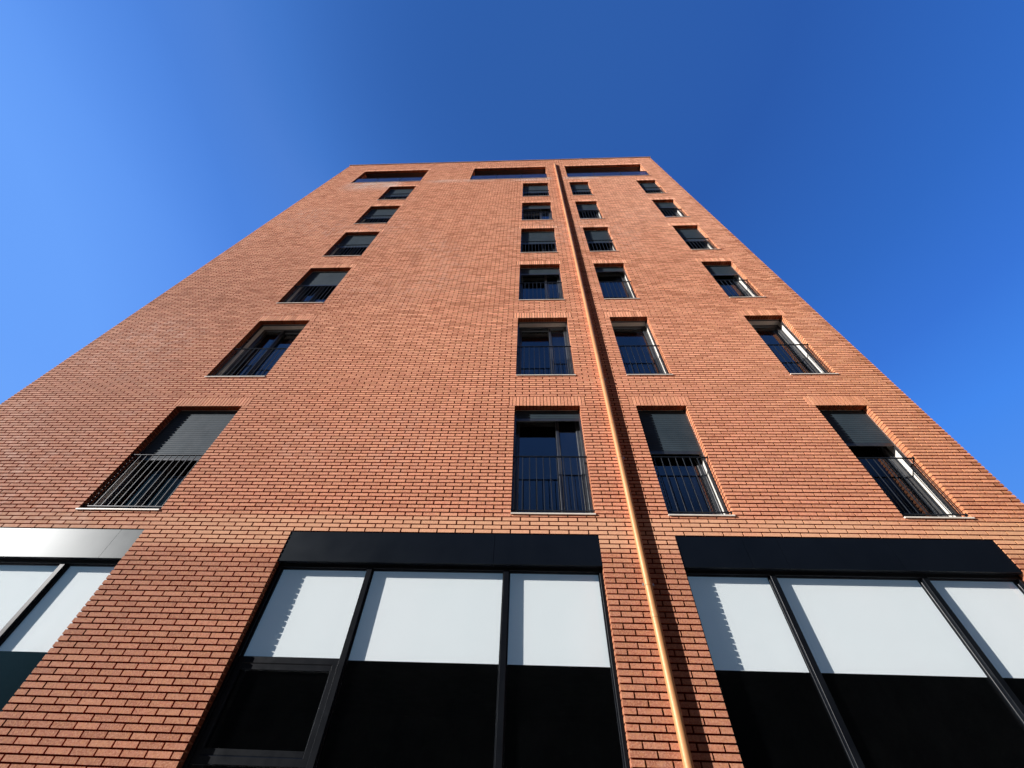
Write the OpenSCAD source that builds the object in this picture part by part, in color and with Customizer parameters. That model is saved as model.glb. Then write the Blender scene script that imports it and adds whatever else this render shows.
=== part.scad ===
// Apartment block: brick street front with ground-floor shop bays, six storeys
// of tall windows behind low railings, and recessed loggias on the top storey.
// Millimetres. Origin at the middle of the footprint on the ground, +Z up,
// the street front faces -Y.

/* [Block] */
// Width of the street front between the brick corners
block_w = 17000; // [16600:100:18000]
// Depth of the block from street front to rear
block_d = 12000; // [9000:100:16000]
// Height of one brick course with its joint
course = 62.5; // [60:0.5:65]
// Courses from the ground to the top of the parapet
courses_total = 432; // [426:1:444]
// Thickness of the outer walls
wall_t = 420; // [400:10:500]

/* [Storeys] */
// Courses from the ground to the lowest window sill
sill_1_courses = 75; // [75:1:76]
// Courses from one storey to the next
storey_courses = 49; // [48:1:50]
// Courses of a window's height
window_courses = 35; // [32:1:36]
// Courses from the ground to the head of the shop bays
shop_head_courses = 70; // [66:1:70]
// Courses of brick below the shop glazing
shop_plinth_courses = 4; // [2:1:8]
// Courses of a loggia opening's height
loggia_courses = 38; // [34:1:38]
// Thickness of a floor slab
floor_t = 250; // [200:10:300]

/* [Openings in the street front] */
// Window column A, left and right side from the middle of the front
win_a0 = -4900; // [-5000:10:-4700]
win_a1 = -3630; // [-3700:10:-3500]
// Window column B
win_b0 = 1480; // [1400:10:1600]
win_b1 = 2660; // [2600:5:2700]
// Window column C
win_c0 = 3655; // [3620:5:3700]
win_c1 = 4545; // [4450:5:4600]
// Window column D
win_d0 = 6770; // [6700:10:6900]
win_d1 = 7655; // [7560:5:7680]
// Left side of the left shop bay and loggia
bay_1l = -7130; // [-7200:10:-6900]
// Left side of the middle shop bay
bay_2l = -1530; // [-1700:10:-1400]
// Left side of the middle loggia
log_bl = -1160; // [-1300:10:-1000]

/* [Windows] */
// How far the outer sliding leaf's glass lies behind the brick face
glass_in = 285; // [270:5:290]
// How much further back the inner leaf's glass lies
leaf_step = 65; // [55:5:65]
// Thickness of the glass panes
glass_t = 24; // [16:1:30]
// Width of a window frame's members
frame_w = 60; // [45:1:80]
// Depth of one leaf's frame
frame_d = 55; // [40:1:55]
// How far the roller shutters lie behind the brick face
shutter_in = 126; // [122:1:180]
// Width of a shutter guide
guide_w = 30; // [20:1:50]
// Thickness of a sill's front edge
sill_t = 25; // [20:5:60]
// How far a sill stands out from the brick face
sill_out = 20; // [15:5:48]

/* [Railings] */
// Height of the top rail above the sill
rail_h = 1045; // [950:5:1100]
// Section of a railing bar
bar = 14; // [10:1:20]
// Gap wanted between railing bars, middle to middle
bar_step = 105; // [90:5:120]
// How far the railings lie behind the brick face
rail_in = 28; // [20:2:60]
// Height of the loggia balustrades above their sill
balustrade_h = 1000; // [850:10:1100]

/* [Rainwater pipe] */
// The pipe's middle, to the right of the middle of the front
pipe_at = 3152; // [2850:1:3450]
// How far the pipe's middle stands out from the brick face
pipe_out = 55; // [50:1:90]
// Radius of the pipe
pipe_r = 45; // [40:1:48]
// Courses from the ground to the top of the pipe and the foot of the parapet
parapet_courses = 413; // [410:1:420]

/* [Shop bays] */
// Height of the metal fascia below the head of a bay
fascia_h = 412; // [300:4:440]
// How far the fascia's face lies behind the brick face
fascia_in = 12; // [4:1:60]
// Width of a glazing post
post_w = 68; // [50:2:110]
// Width of the glazing's end frames
end_w = 40; // [30:2:60]
// Height of the bottom edge of the roller blinds above the ground
blind_bottom = 2932; // [2932:4:3400]

/* [Hidden] */

yf = -block_d / 2;
yb = block_d / 2;
xl = -block_w / 2;
xr = block_w / 2;
z_top = courses_total * course;
cop_t = 40;
cop_out = 40;
z_wall = z_top - cop_t;
pitch = storey_courses * course;
win_h = window_courses * course;
z_sill1 = sill_1_courses * course;
function sill(k) = z_sill1 + (k - 1) * pitch;
z_shop = shop_head_courses * course;
z_plinth = shop_plinth_courses * course;
z_log0 = sill(7);
z_log1 = z_log0 + loggia_courses * course;
z_par = parapet_courses * course;
z_roof = z_log1 + 150;
cols = [[win_a0, win_a1], [win_b0, win_b1], [win_c0, win_c1], [win_d0, win_d1]];
bays = [[bay_1l, win_a1], [bay_2l, win_b1], [win_c0, win_d1]];
logs = [[bay_1l, win_a1], [log_bl, win_b1], [win_c0, win_d1]];
log_in = 1750;
// Window columns of the unseen sides: the front's storeys repeated
side_cols = [[-625, 625]];
back_cols = [[-6625, -5375], [-2625, -1375], [1375, 2625], [5375, 6625]];
// How far each roller shutter hangs down from the window head, storey by storey
shutter_drop = [
    [1190, 265, 1010, 825],
    [30, 30, 30, 30],
    [955, 440, 310, 660],
    [1140, 1140, 1150, 1160],
    [1200, 430, 730, 690],
    [1230, 1180, 1180, 1180]];
// Where the two leaves of each column's windows meet, as a share of the width; 0 is one leaf
leaf_meet = [0.39, 0.65, 0, 0];
// Posts that divide each shop bay's glazing
shop_mull = [[-6260, -4470], [-315, 1450], [4740, 6536]];

brick_col = [0.72, 0.40, 0.30];
dark_col = [0.08, 0.08, 0.09];

// A box given by its limits, with y measured inwards from the street front
module fbox(x0, x1, y0, y1, z0, z1)
    translate([x0, yf + y0, z0]) cube([x1 - x0, y1 - y0, z1 - z0]);

module ground_slab() color([0.6, 0.6, 0.58])
    translate([xl + wall_t, yf + wall_t, 0])
        cube([block_w - 2 * wall_t, block_d - 2 * wall_t, 150]);

module front_shop_piers() color(brick_col) {
    for (p = [[xl, bay_1l], [win_a1, bay_2l], [win_b1, win_c0], [win_d1, xr]])
        fbox(p[0], p[1], 0, wall_t, 0, z_shop);
}

module shop_plinths() color(brick_col)
    for (b = bays) fbox(b[0], b[1], 0, wall_t, 0, z_plinth);

module front_lower_band() color(brick_col)
    fbox(xl, xr, 0, wall_t, z_shop, z_sill1 - sill_t);

module front_window_piers() color(brick_col) {
    for (p = [[xl, win_a0], [win_a1, win_b0], [win_b1, win_c0], [win_c1, win_d0], [win_d1, xr]])
        fbox(p[0], p[1], 0, wall_t, z_sill1 - sill_t, sill(6) + win_h);
}

module front_spandrels() color(brick_col)
    for (c = cols, k = [1:5])
        fbox(c[0], c[1], 0, wall_t, sill(k) + win_h, sill(k + 1) - sill_t);

module front_upper_band() color(brick_col)
    fbox(xl, xr, 0, wall_t, sill(6) + win_h, z_log0 - sill_t);

module front_loggia_piers() color(brick_col) {
    for (p = [[xl, bay_1l], [win_a1, log_bl], [win_b1, win_c0], [win_d1, xr]])
        fbox(p[0], p[1], 0, wall_t, z_log0 - sill_t, z_log1);
}

module front_loggia_band() color(brick_col)
    fbox(xl, xr, 0, wall_t, z_log1, z_par);

module front_parapet() color(brick_col)
    fbox(xl, xr, 0, wall_t, z_par, z_wall);

// One side wall between the front and rear walls: full-height piers
module side_piers(x0) {
    translate([x0, yf + wall_t, 0]) cube([wall_t, side_cols[0][0] - yf - wall_t, z_wall]);
    translate([x0, side_cols[0][1], 0]) cube([wall_t, yb - wall_t - side_cols[0][1], z_wall]);
}
// The brickwork below, between and above one column of windows
module spandrel_column(w, t) {
    cube([w, t, sill(1) - sill_t]);
    for (k = [1:6]) translate([0, 0, sill(k) + win_h]) cube([w, t, pitch - win_h - sill_t]);
    translate([0, 0, sill(7) + win_h]) cube([w, t, z_wall - sill(7) - win_h]);
}
module side_wall_piers() color(brick_col)
    for (x = [xl, xr - wall_t]) side_piers(x);
module side_wall_spandrels() color(brick_col)
    for (x = [xl + wall_t, xr])
        translate([x, side_cols[0][0], 0]) rotate([0, 0, 90])
            spandrel_column(side_cols[0][1] - side_cols[0][0], wall_t);

module back_wall_piers() color(brick_col) {
    edges = [xl, for (c = back_cols) for (e = c) e, xr];
    for (i = [0:2:len(edges) - 2])
        translate([edges[i], yb - wall_t, 0]) cube([edges[i + 1] - edges[i], wall_t, z_wall]);
}
module back_wall_spandrels() color(brick_col)
    for (c = back_cols) translate([c[0], yb - wall_t, 0]) spandrel_column(c[1] - c[0], wall_t);

module floor_slabs() color([0.6, 0.6, 0.58])
    for (k = [1:7])
        translate([xl + wall_t, yf + wall_t, sill(k) - sill_t - floor_t])
            cube([block_w - 2 * wall_t, block_d - 2 * wall_t, floor_t]);

module roof_slab() color([0.45, 0.45, 0.44])
    translate([xl + wall_t, yf + wall_t, z_roof])
        cube([block_w - 2 * wall_t, block_d - 2 * wall_t, 250]);

module loggia_cheeks() color(brick_col)
    for (l = logs) {
        fbox(l[0] - 200, l[0], wall_t, log_in + 60, z_log0 - sill_t, z_roof);
        fbox(l[1], l[1] + 200, wall_t, log_in + 60, z_log0 - sill_t, z_roof);
    }

module loggia_ceilings() color([0.16, 0.09, 0.07])
    for (l = logs) fbox(l[0], l[1], wall_t, log_in + 60, z_log1 + 20, z_log1 + 60);

module loggia_glazing() color([0.1, 0.14, 0.22])
    for (l = logs) fbox(l[0], l[1], log_in, log_in + 60, z_log0 - sill_t, z_log1 + 20);

// A railing panel: top rail, bottom rail and upright bars, all one piece
module rail_panel(x0, x1, z0) {
    n = round((x1 - x0) / bar_step);
    st = (x1 - x0) / n;
    fbox(x0, x1, rail_in, rail_in + 30, z0 + rail_h - 12, z0 + rail_h);
    fbox(x0, x1, rail_in + 4, rail_in + 26, z0 + 60, z0 + 72);
    for (i = [0:n - 1])
        fbox(x0 + st * (i + 0.5) - bar / 2, x0 + st * (i + 0.5) + bar / 2,
            rail_in + 8, rail_in + 8 + bar, z0 + 61, z0 + rail_h - 2);
}
module railings(k) color(dark_col) for (c = cols) rail_panel(c[0], c[1], sill(k));
module railings_storey_1() railings(1);
module railings_storey_2() railings(2);
module railings_storey_3() railings(3);
module railings_storey_4() railings(4);
module railings_storey_5() railings(5);
module railings_storey_6() railings(6);

// The frame of a loggia balustrade: handrail, foot channel and posts, one piece
function balustrade_posts(l) = round((l[1] - l[0]) / 1200);
module loggia_railings() color(dark_col)
    for (l = logs) {
        n = balustrade_posts(l);
        st = (l[1] - l[0] - 30) / n;
        fbox(l[0], l[1], rail_in, rail_in + 40, z_log0 + balustrade_h - 25, z_log0 + balustrade_h);
        fbox(l[0], l[1], rail_in, rail_in + 40, z_log0 + 20, z_log0 + 60);
        for (i = [0:n])
            fbox(l[0] + st * i, l[0] + st * i + 30, rail_in + 5, rail_in + 35, z_log0, z_log0 + balustrade_h - 1);
    }
module loggia_balustrade_glass() color([0.35, 0.42, 0.5])
    for (l = logs) {
        n = balustrade_posts(l);
        st = (l[1] - l[0] - 30) / n;
        for (i = [0:n - 1])
            fbox(l[0] + st * i + 30, l[0] + st * (i + 1), rail_in + 14, rail_in + 26,
                z_log0 + 60, z_log0 + balustrade_h - 25);
    }

frame_y0 = glass_in - 20;
single_w = frame_w + 30;
module window_sills() color([0.83, 0.81, 0.76]) {
    for (c = cols, k = [1:6])
        fbox(c[0], c[1], -sill_out, frame_y0, sill(k) - sill_t, sill(k));
    for (l = logs) fbox(l[0], l[1], -sill_out, wall_t, z_log0 - sill_t, z_log0);
}

// A sliding window's frame: the narrow leaf slides in front of the wide one, and
// the leaves overlap at the meeting stile
module window_frame(x0, x1, z0, z1, meet) {
    m = x0 + (x1 - x0) * meet;
    yo = frame_y0 + frame_d;
    yi = yo + leaf_step - frame_d;
    ye = yi + frame_d;
    left = [x0 + 30, m - frame_w / 2];
    right = [m + frame_w / 2, x1 - 30];
    outer = meet > 0.5 ? right : left;
    inner = meet > 0.5 ? left : right;
    difference() {
        fbox(x0, x1, frame_y0, ye, z0, z1);
        // through the panes
        fbox(x0 + frame_w, m - frame_w / 2, frame_y0 - 1, ye + 1, z0 + sill_t + frame_w, z1 - frame_w);
        fbox(m + frame_w / 2, x1 - frame_w, frame_y0 - 1, ye + 1, z0 + sill_t + frame_w, z1 - frame_w);
        // in front of the inner leaf and behind the outer one
        fbox(inner[0], inner[1], frame_y0 - 1, yi, z0 + sill_t + 30, z1 - 30);
        fbox(outer[0], outer[1], yo, ye + 1, z0 + sill_t + 30, z1 - 30);
    }
}
// A window of one leaf that opens inwards
module single_frame(x0, x1, z0, z1)
    difference() {
        fbox(x0, x1, frame_y0, frame_y0 + frame_d + 10, z0, z1);
        fbox(x0 + single_w, x1 - single_w, frame_y0 - 1, frame_y0 + frame_d + 11,
            z0 + sill_t + single_w, z1 - single_w);
    }
module window_frames() color(dark_col)
    for (i = [0:3], k = [1:6]) {
        c = cols[i];
        if (leaf_meet[i] > 0)
            window_frame(c[0], c[1], sill(k) - sill_t, sill(k) + win_h, leaf_meet[i]);
        else
            single_frame(c[0], c[1], sill(k) - sill_t, sill(k) + win_h);
        // the shutter's guides on both sides
        fbox(c[0], c[0] + guide_w, shutter_in - 4, shutter_in + 26, sill(k), sill(k) + win_h);
        fbox(c[1] - guide_w, c[1], shutter_in - 4, shutter_in + 26, sill(k), sill(k) + win_h);
    }

module window_glass() color([0.1, 0.16, 0.3])
    for (i = [0:3], k = [1:6]) {
        c = cols[i];
        m = c[0] + (c[1] - c[0]) * leaf_meet[i];
        yl = leaf_meet[i] > 0.5 ? glass_in + leaf_step : glass_in;
        yr = leaf_meet[i] > 0.5 ? glass_in : glass_in + leaf_step;
        if (leaf_meet[i] > 0) {
            fbox(c[0] + frame_w, m - frame_w / 2, yl, yl + glass_t,
                sill(k) + frame_w, sill(k) + win_h - frame_w);
            fbox(m + frame_w / 2, c[1] - frame_w, yr, yr + glass_t,
                sill(k) + frame_w, sill(k) + win_h - frame_w);
        } else
            fbox(c[0] + single_w, c[1] - single_w, glass_in, glass_in + glass_t,
                sill(k) + single_w, sill(k) + win_h - single_w);
    }

module roller_shutters() color([0.36, 0.38, 0.4])
    for (i = [0:3], k = [1:6])
        fbox(cols[i][0] + guide_w, cols[i][1] - guide_w, shutter_in, shutter_in + 14,
            sill(k) + win_h - shutter_drop[k - 1][i], sill(k) + win_h);

module side_and_rear_glass() color([0.1, 0.16, 0.3]) {
    for (x = [xl + glass_in, xr - glass_in - glass_t], k = [1:7])
        translate([x, side_cols[0][0], sill(k) - sill_t])
            cube([glass_t, side_cols[0][1] - side_cols[0][0], win_h + sill_t]);
    for (c = back_cols, k = [1:7])
        translate([c[0], yb - glass_in - glass_t, sill(k) - sill_t])
            cube([c[1] - c[0], glass_t, win_h + sill_t]);
}

module side_and_rear_sills() color([0.83, 0.81, 0.76]) {
    for (k = [1:7]) {
        translate([xl - sill_out, side_cols[0][0], sill(k) - sill_t])
            cube([glass_in + sill_out, side_cols[0][1] - side_cols[0][0], sill_t]);
        translate([xr - glass_in, side_cols[0][0], sill(k) - sill_t])
            cube([glass_in + sill_out, side_cols[0][1] - side_cols[0][0], sill_t]);
    }
    for (c = back_cols, k = [1:7])
        translate([c[0], yb - glass_in, sill(k) - sill_t])
            cube([c[1] - c[0], glass_in + sill_out, sill_t]);
}

// A round pipe in front of the brick face; its top turns back to the wall
module downpipe() color([0.72, 0.38, 0.2])
    translate([pipe_at, yf - pipe_out, 0]) {
        cylinder(r = pipe_r, h = z_par, $fn = 64);
        translate([0, 0, z_par - pipe_r - 8]) rotate([-90, 0, 0])
            cylinder(r = pipe_r - 4, h = pipe_out, $fn = 64);
    }

// Clamp rings round the pipe, each with two ears and a stub to the brick face
module pipe_brackets() color([0.6, 0.32, 0.18])
    for (i = [0:12]) translate([pipe_at, yf - pipe_out, 1780 + i * 1920])
        difference() {
            union() {
                cylinder(r = pipe_r + 4, h = 30, $fn = 64);
                translate([-pipe_r - 24, -3, 0]) cube([2 * pipe_r + 48, 6, 30]);
                translate([-8, 0, 0]) cube([16, pipe_out, 30]);
            }
            translate([0, 0, -1]) cylinder(r = pipe_r, h = 32, $fn = 64);
        }

shop_y0 = 85;
shop_y1 = 165;
module shop_fascias() color(dark_col)
    for (b = bays) fbox(b[0], b[1], fascia_in, shop_y0, z_shop - fascia_h, z_shop);

z_rail = z_shop - 455;
module shop_posts() color(dark_col)
    for (i = [0:2]) {
        fbox(bays[i][0], bays[i][0] + end_w, shop_y0, shop_y1, z_plinth, z_shop);
        fbox(bays[i][1] - end_w, bays[i][1], shop_y0, shop_y1, z_plinth, z_shop);
        for (m = shop_mull[i]) fbox(m - post_w / 2, m + post_w / 2, shop_y0, shop_y1, z_plinth, z_shop);
    }
// The clear widths between the posts of bay i
function panes(i) = [[bays[i][0] + end_w, shop_mull[i][0] - post_w / 2],
    [shop_mull[i][0] + post_w / 2, shop_mull[i][1] - post_w / 2],
    [shop_mull[i][1] + post_w / 2, bays[i][1] - end_w]];
// The opening light in the left pane of the middle bay
light = panes(1)[0];
light_0 = 2050;
light_1 = 2930;
glass_y = 142;
module shop_rails() color(dark_col)
    for (i = [0:2], p = panes(i)) {
        fbox(p[0], p[1], shop_y0, shop_y1, z_rail, z_shop);
        fbox(p[0], p[1], shop_y0, shop_y1, z_plinth, z_plinth + 80);
    }
module shop_opening_light() color(dark_col)
    difference() {
        fbox(light[0], light[1], shop_y0 + 10, shop_y1 - 5, light_0, light_1);
        fbox(light[0] + 70, light[1] - 70, shop_y0, shop_y1, light_0 + 115, light_1 - 120);
    }
module shop_glass() color([0.1, 0.12, 0.14]) {
    for (i = [0:2], j = [0:2]) if (i != 1 || j != 0)
        fbox(panes(i)[j][0], panes(i)[j][1], glass_y, glass_y + 12, z_plinth + 80, z_rail);
    fbox(light[0], light[1], glass_y, glass_y + 12, z_plinth + 80, light_0);
    fbox(light[0] + 70, light[1] - 70, glass_y, glass_y + 12, light_0 + 115, light_1 - 120);
    fbox(light[0], light[1], glass_y, glass_y + 12, light_1, z_rail);
}
module shop_blinds() color([0.88, 0.9, 0.9])
    for (i = [0:2], p = panes(i))
        fbox(p[0] + 4, p[1] - 4, 168, 172, blind_bottom, z_rail);

module parapet_coping() color([0.35, 0.3, 0.28]) {
    translate([xl - cop_out, yf - cop_out, z_wall]) cube([block_w + 2 * cop_out, wall_t + 2 * cop_out, cop_t]);
    translate([xl - cop_out, yb - wall_t - cop_out, z_wall]) cube([block_w + 2 * cop_out, wall_t + 2 * cop_out, cop_t]);
}
module side_copings() color([0.35, 0.3, 0.28])
    for (x = [xl - cop_out, xr - wall_t - cop_out])
        translate([x, yf + wall_t + cop_out, z_wall])
            cube([wall_t + 2 * cop_out, block_d - 2 * wall_t - 2 * cop_out, cop_t]);

ground_slab();
front_shop_piers();
shop_plinths();
front_lower_band();
front_window_piers();
front_spandrels();
front_upper_band();
front_loggia_piers();
front_loggia_band();
front_parapet();
side_wall_piers();
side_wall_spandrels();
back_wall_piers();
back_wall_spandrels();
floor_slabs();
roof_slab();
loggia_cheeks();
loggia_ceilings();
loggia_glazing();
loggia_railings();
loggia_balustrade_glass();
window_sills();
window_frames();
window_glass();
roller_shutters();
railings_storey_1();
railings_storey_2();
railings_storey_3();
railings_storey_4();
railings_storey_5();
railings_storey_6();
side_and_rear_glass();
side_and_rear_sills();
downpipe();
pipe_brackets();
shop_fascias();
shop_posts();
shop_rails();
shop_opening_light();
shop_glass();
shop_blinds();
parapet_coping();
side_copings();
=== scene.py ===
import math
import random

import bmesh
import bpy
import numpy as np
from mathutils import Matrix, Vector


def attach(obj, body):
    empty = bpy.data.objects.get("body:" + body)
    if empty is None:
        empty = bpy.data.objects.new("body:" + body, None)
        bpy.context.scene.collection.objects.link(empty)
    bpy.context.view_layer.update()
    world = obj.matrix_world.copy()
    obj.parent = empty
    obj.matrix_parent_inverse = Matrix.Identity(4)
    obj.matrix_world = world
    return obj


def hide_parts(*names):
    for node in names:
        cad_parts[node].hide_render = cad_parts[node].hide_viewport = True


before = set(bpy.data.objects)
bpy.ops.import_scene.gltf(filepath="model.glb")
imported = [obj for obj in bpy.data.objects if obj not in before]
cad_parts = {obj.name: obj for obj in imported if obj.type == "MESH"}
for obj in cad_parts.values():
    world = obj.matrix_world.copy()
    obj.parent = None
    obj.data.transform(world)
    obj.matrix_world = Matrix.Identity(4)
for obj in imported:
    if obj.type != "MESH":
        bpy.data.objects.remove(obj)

SCENE = bpy.context.scene


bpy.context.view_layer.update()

# ------------------------------------------------------------------ sizes
W, D, H = 17.0, 12.0, 27.0
YF, YB, XL, XR = -6.0, 6.0, -8.5, 8.5
COURSE = 0.0625
WALL, SKIN, RAKE = 0.42, 0.12, 0.019
Z_WALL = 26.96
PITCH = 49 * COURSE
WIN_H = 35 * COURSE
SILL_T = 0.025
SILL_OUT = 0.020
Z_SHOP, Z_PLINTH = 70 * COURSE, 4 * COURSE


def sill(k):
    return 75 * COURSE + (k - 1) * PITCH


Z_LOG0 = sill(7)
Z_LOG1 = Z_LOG0 + 38 * COURSE
Z_PAR = 413 * COURSE
COLS = [(-4.90, -3.63), (1.48, 2.66), (3.655, 4.545), (6.77, 7.655)]
BAYS = [(-7.13, -3.63), (-1.53, 2.66), (3.655, 7.655)]
LOGS = [(-7.13, -3.63), (-1.16, 2.66), (3.655, 7.655)]
BACK_COLS = [(-6.625, -5.375), (-2.625, -1.375), (1.375, 2.625), (5.375, 6.625)]
SIDE_COL = (-0.625, 0.625)
DROP = [[1.190, .265, 1.010, .825], [.030, .030, .030, .030], [.955, .440, .310, .660],
        [1.140, 1.140, 1.150, 1.160], [1.200, .430, .730, .690], [1.230, 1.180, 1.180, 1.180]]
MEET = [0.39, 0.65, 0.0, 0.0]     # where each column's two leaves meet; 0 is one leaf
MULL = [(-6.26, -4.47), (-0.315, 1.45), (4.74, 6.536)]
POST_W, END_W = 0.068, 0.040


# ------------------------------------------------------------------ meshes
class Soup:
    """Points and faces gathered for one mesh; every face has a material number."""

    def __init__(self):
        self.v, self.f, self.m, self.n = [], [], [], 0
        self.smooth = []

    def add(self, pts, faces, mat=0, smooth=False):
        base = self.n
        self.v.extend(tuple(float(c) for c in p) for p in pts)
        self.n += len(pts)
        mats = mat if isinstance(mat, (list, tuple)) else [mat] * len(faces)
        for f, m in zip(faces, mats):
            self.f.append(tuple(base + i for i in f))
            self.m.append(m)
            self.smooth.append(smooth)

    def box(self, x0, x1, y0, y1, z0, z1, mat=0):
        """mat is one number, or six: -X, +X, -Y, +Y, -Z, +Z."""
        p = [(x0, y0, z0), (x1, y0, z0), (x1, y1, z0), (x0, y1, z0),
             (x0, y0, z1), (x1, y0, z1), (x1, y1, z1), (x0, y1, z1)]
        f = [(0, 4, 7, 3), (1, 2, 6, 5), (0, 1, 5, 4), (3, 7, 6, 2), (0, 3, 2, 1), (4, 5, 6, 7)]
        self.add(p, f, list(mat) if isinstance(mat, (list, tuple)) else [mat] * 6)

    def prism(self, prof, a0, a1, place, mat=0, caps=True, smooth=False, side_mats=None):
        """A closed outline of (u, w) points carried from a0 to a1; place(a, u, w) gives the point."""
        n = len(prof)
        pts = [place(a0, u, w) for u, w in prof] + [place(a1, u, w) for u, w in prof]
        faces = [(i, (i + 1) % n, n + (i + 1) % n, n + i) for i in range(n)]
        self.add(pts, faces, side_mats or mat, smooth)
        if caps:
            self.add(pts[:n], [tuple(reversed(range(n)))], mat)
            self.add(pts[n:], [tuple(range(n))], mat)

    def ring(self, x0, x1, z0, z1, prof, place, mat=0):
        """A mitred frame: an outline of (inset, depth) points swept round a rectangle."""
        n = len(prof)
        pts = []
        for cx, cz, sx, sz in ((x0, z0, 1, 1), (x1, z0, -1, 1), (x1, z1, -1, -1), (x0, z1, 1, -1)):
            pts += [place(cx + sx * i, d, cz + sz * i) for i, d in prof]
        faces = []
        for k in range(4):
            a, b = k * n, ((k + 1) % 4) * n
            for i in range(n):
                j = (i + 1) % n
                faces.append((a + i, b + i, b + j, a + j))
        self.add(pts, faces, mat)

    def tube(self, cx, cy, z0, z1, r, sides=16, mat=0, rings=None):
        """An upright rod; rings is a list of (z, radius) for turned shapes."""
        rings = rings or [(z0, r), (z1, r)]
        pts = []
        for z, rr in rings:
            for i in range(sides):
                t = 2 * math.pi * i / sides
                pts.append((cx + rr * math.cos(t), cy + rr * math.sin(t), z))
        faces = []
        for k in range(len(rings) - 1):
            for i in range(sides):
                j = (i + 1) % sides
                faces.append((k * sides + i, k * sides + j, (k + 1) * sides + j, (k + 1) * sides + i))
        self.add(pts, faces, mat, True)
        self.add(pts[:sides], [tuple(reversed(range(sides)))], mat)
        self.add(pts[-sides:], [tuple(range(sides))], mat)


def make(name, soup, mats, nodes=(), angle=38):
    me = bpy.data.meshes.new(name)
    me.from_pydata(soup.v, [], soup.f)
    for m in mats:
        me.materials.append(m)
    me.polygons.foreach_set("material_index", soup.m)
    me.polygons.foreach_set("use_smooth", soup.smooth)
    if any(soup.smooth):
        me.set_sharp_from_angle(angle=math.radians(angle))
    bm = bmesh.new()
    bm.from_mesh(me)
    bmesh.ops.recalc_face_normals(bm, faces=bm.faces)
    bm.to_mesh(me)
    bm.free()
    me.validate()
    me.update()
    return finish_piece(name, me, nodes)


def finish_piece(name, me, nodes):
    o = bpy.data.objects.new(name, me)
    SCENE.collection.objects.link(o)
    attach(o, "root")
    if nodes:
        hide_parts(*nodes)
    return o


# ------------------------------------------------------------------ materials
class Graph:
    """A node tree with short calls."""

    def __init__(self, name):
        self.mat = bpy.data.materials.new(name)
        self.mat.use_nodes = True
        self.t = self.mat.node_tree
        self.t.nodes.clear()
        self.out = self.t.nodes.new("ShaderNodeOutputMaterial")

    def new(self, kind, **props):
        n = self.t.nodes.new("ShaderNode" + kind)
        for k, v in props.items():
            setattr(n, k, v)
        return n

    def link(self, a, b):
        self.t.links.new(a, b)

    def put(self, socket, value):
        if hasattr(value, "is_output") or isinstance(value, bpy.types.NodeSocket):
            self.link(value, socket)
        else:
            socket.default_value = value

    def coords(self):
        if not hasattr(self, "_co"):
            self._co = self.new("TexCoord").outputs["Object"]
        return self._co

    def noise(self, scale, detail=4.0, rough=0.55, stretch=None, offset=None):
        n = self.new("TexNoise")
        n.inputs["Scale"].default_value = scale
        n.inputs["Detail"].default_value = detail
        n.inputs["Roughness"].default_value = rough
        m = self.new("Mapping")
        self.link(self.coords(), m.inputs["Vector"])
        m.inputs["Scale"].default_value = stretch or (1, 1, 1)
        m.inputs["Location"].default_value = offset or (0, 0, 0)
        self.link(m.outputs["Vector"], n.inputs["Vector"])
        return n.outputs["Fac"]

    def ramp(self, fac, stops, interp="LINEAR"):
        r = self.new("ValToRGB")
        r.color_ramp.interpolation = interp
        e = r.color_ramp.elements
        while len(e) < len(stops):
            e.new(0.5)
        for el, (p, c) in zip(e, stops):
            el.position = p
            el.color = (*c, 1) if len(c) == 3 else c
        self.link(fac, r.inputs["Fac"])
        return r.outputs["Color"]

    def span(self, value, a, b, c=0.0, d=1.0, smooth=False):
        m = self.new("MapRange")
        m.clamp = True
        if smooth:
            m.interpolation_type = "SMOOTHSTEP"
        self.put(m.inputs["Value"], value)
        for i, x in zip((1, 2, 3, 4), (a, b, c, d)):
            m.inputs[i].default_value = x
        return m.outputs["Result"]

    def math(self, op, a, b=0.0, clamp=False):
        m = self.new("Math", operation=op, use_clamp=clamp)
        self.put(m.inputs[0], a)
        self.put(m.inputs[1], b)
        return m.outputs[0]

    def mix(self, fac, a, b, blend="MIX"):
        m = self.new("Mix", data_type="RGBA", blend_type=blend)
        self.put(m.inputs["Factor"], fac)
        ins = [i for i in m.inputs if i.type == "RGBA"]
        for s, v in zip(ins, (a, b)):
            if isinstance(v, tuple):
                v = (*v, 1) if len(v) == 3 else v
            self.put(s, v)
        return [o for o in m.outputs if o.type == "RGBA"][0]

    def xyz(self):
        if not hasattr(self, "_xyz"):
            s = self.new("SeparateXYZ")
            self.link(self.coords(), s.inputs[0])
            self._xyz = s.outputs
        return self._xyz

    def bump(self, height, strength, distance, normal=None):
        b = self.new("Bump")
        b.inputs["Strength"].default_value = strength
        b.inputs["Distance"].default_value = distance
        self.link(height, b.inputs["Height"])
        if normal is not None:
            self.link(normal, b.inputs["Normal"])
        return b.outputs["Normal"]

    def surface(self, color=None, rough=None, metallic=None, normal=None, **other):
        p = self.new("BsdfPrincipled")
        for key, v in {"Base Color": color, "Roughness": rough, "Metallic": metallic, "Normal": normal,
                       **{k.replace("_", " "): v for k, v in other.items()}}.items():
            if v is None:
                continue
            if isinstance(v, tuple) and len(v) == 3:
                v = (*v, 1)
            self.put(p.inputs[key], v)
        self.link(p.outputs[0], self.out.inputs["Surface"])
        self.p = p
        return self.mat


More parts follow.
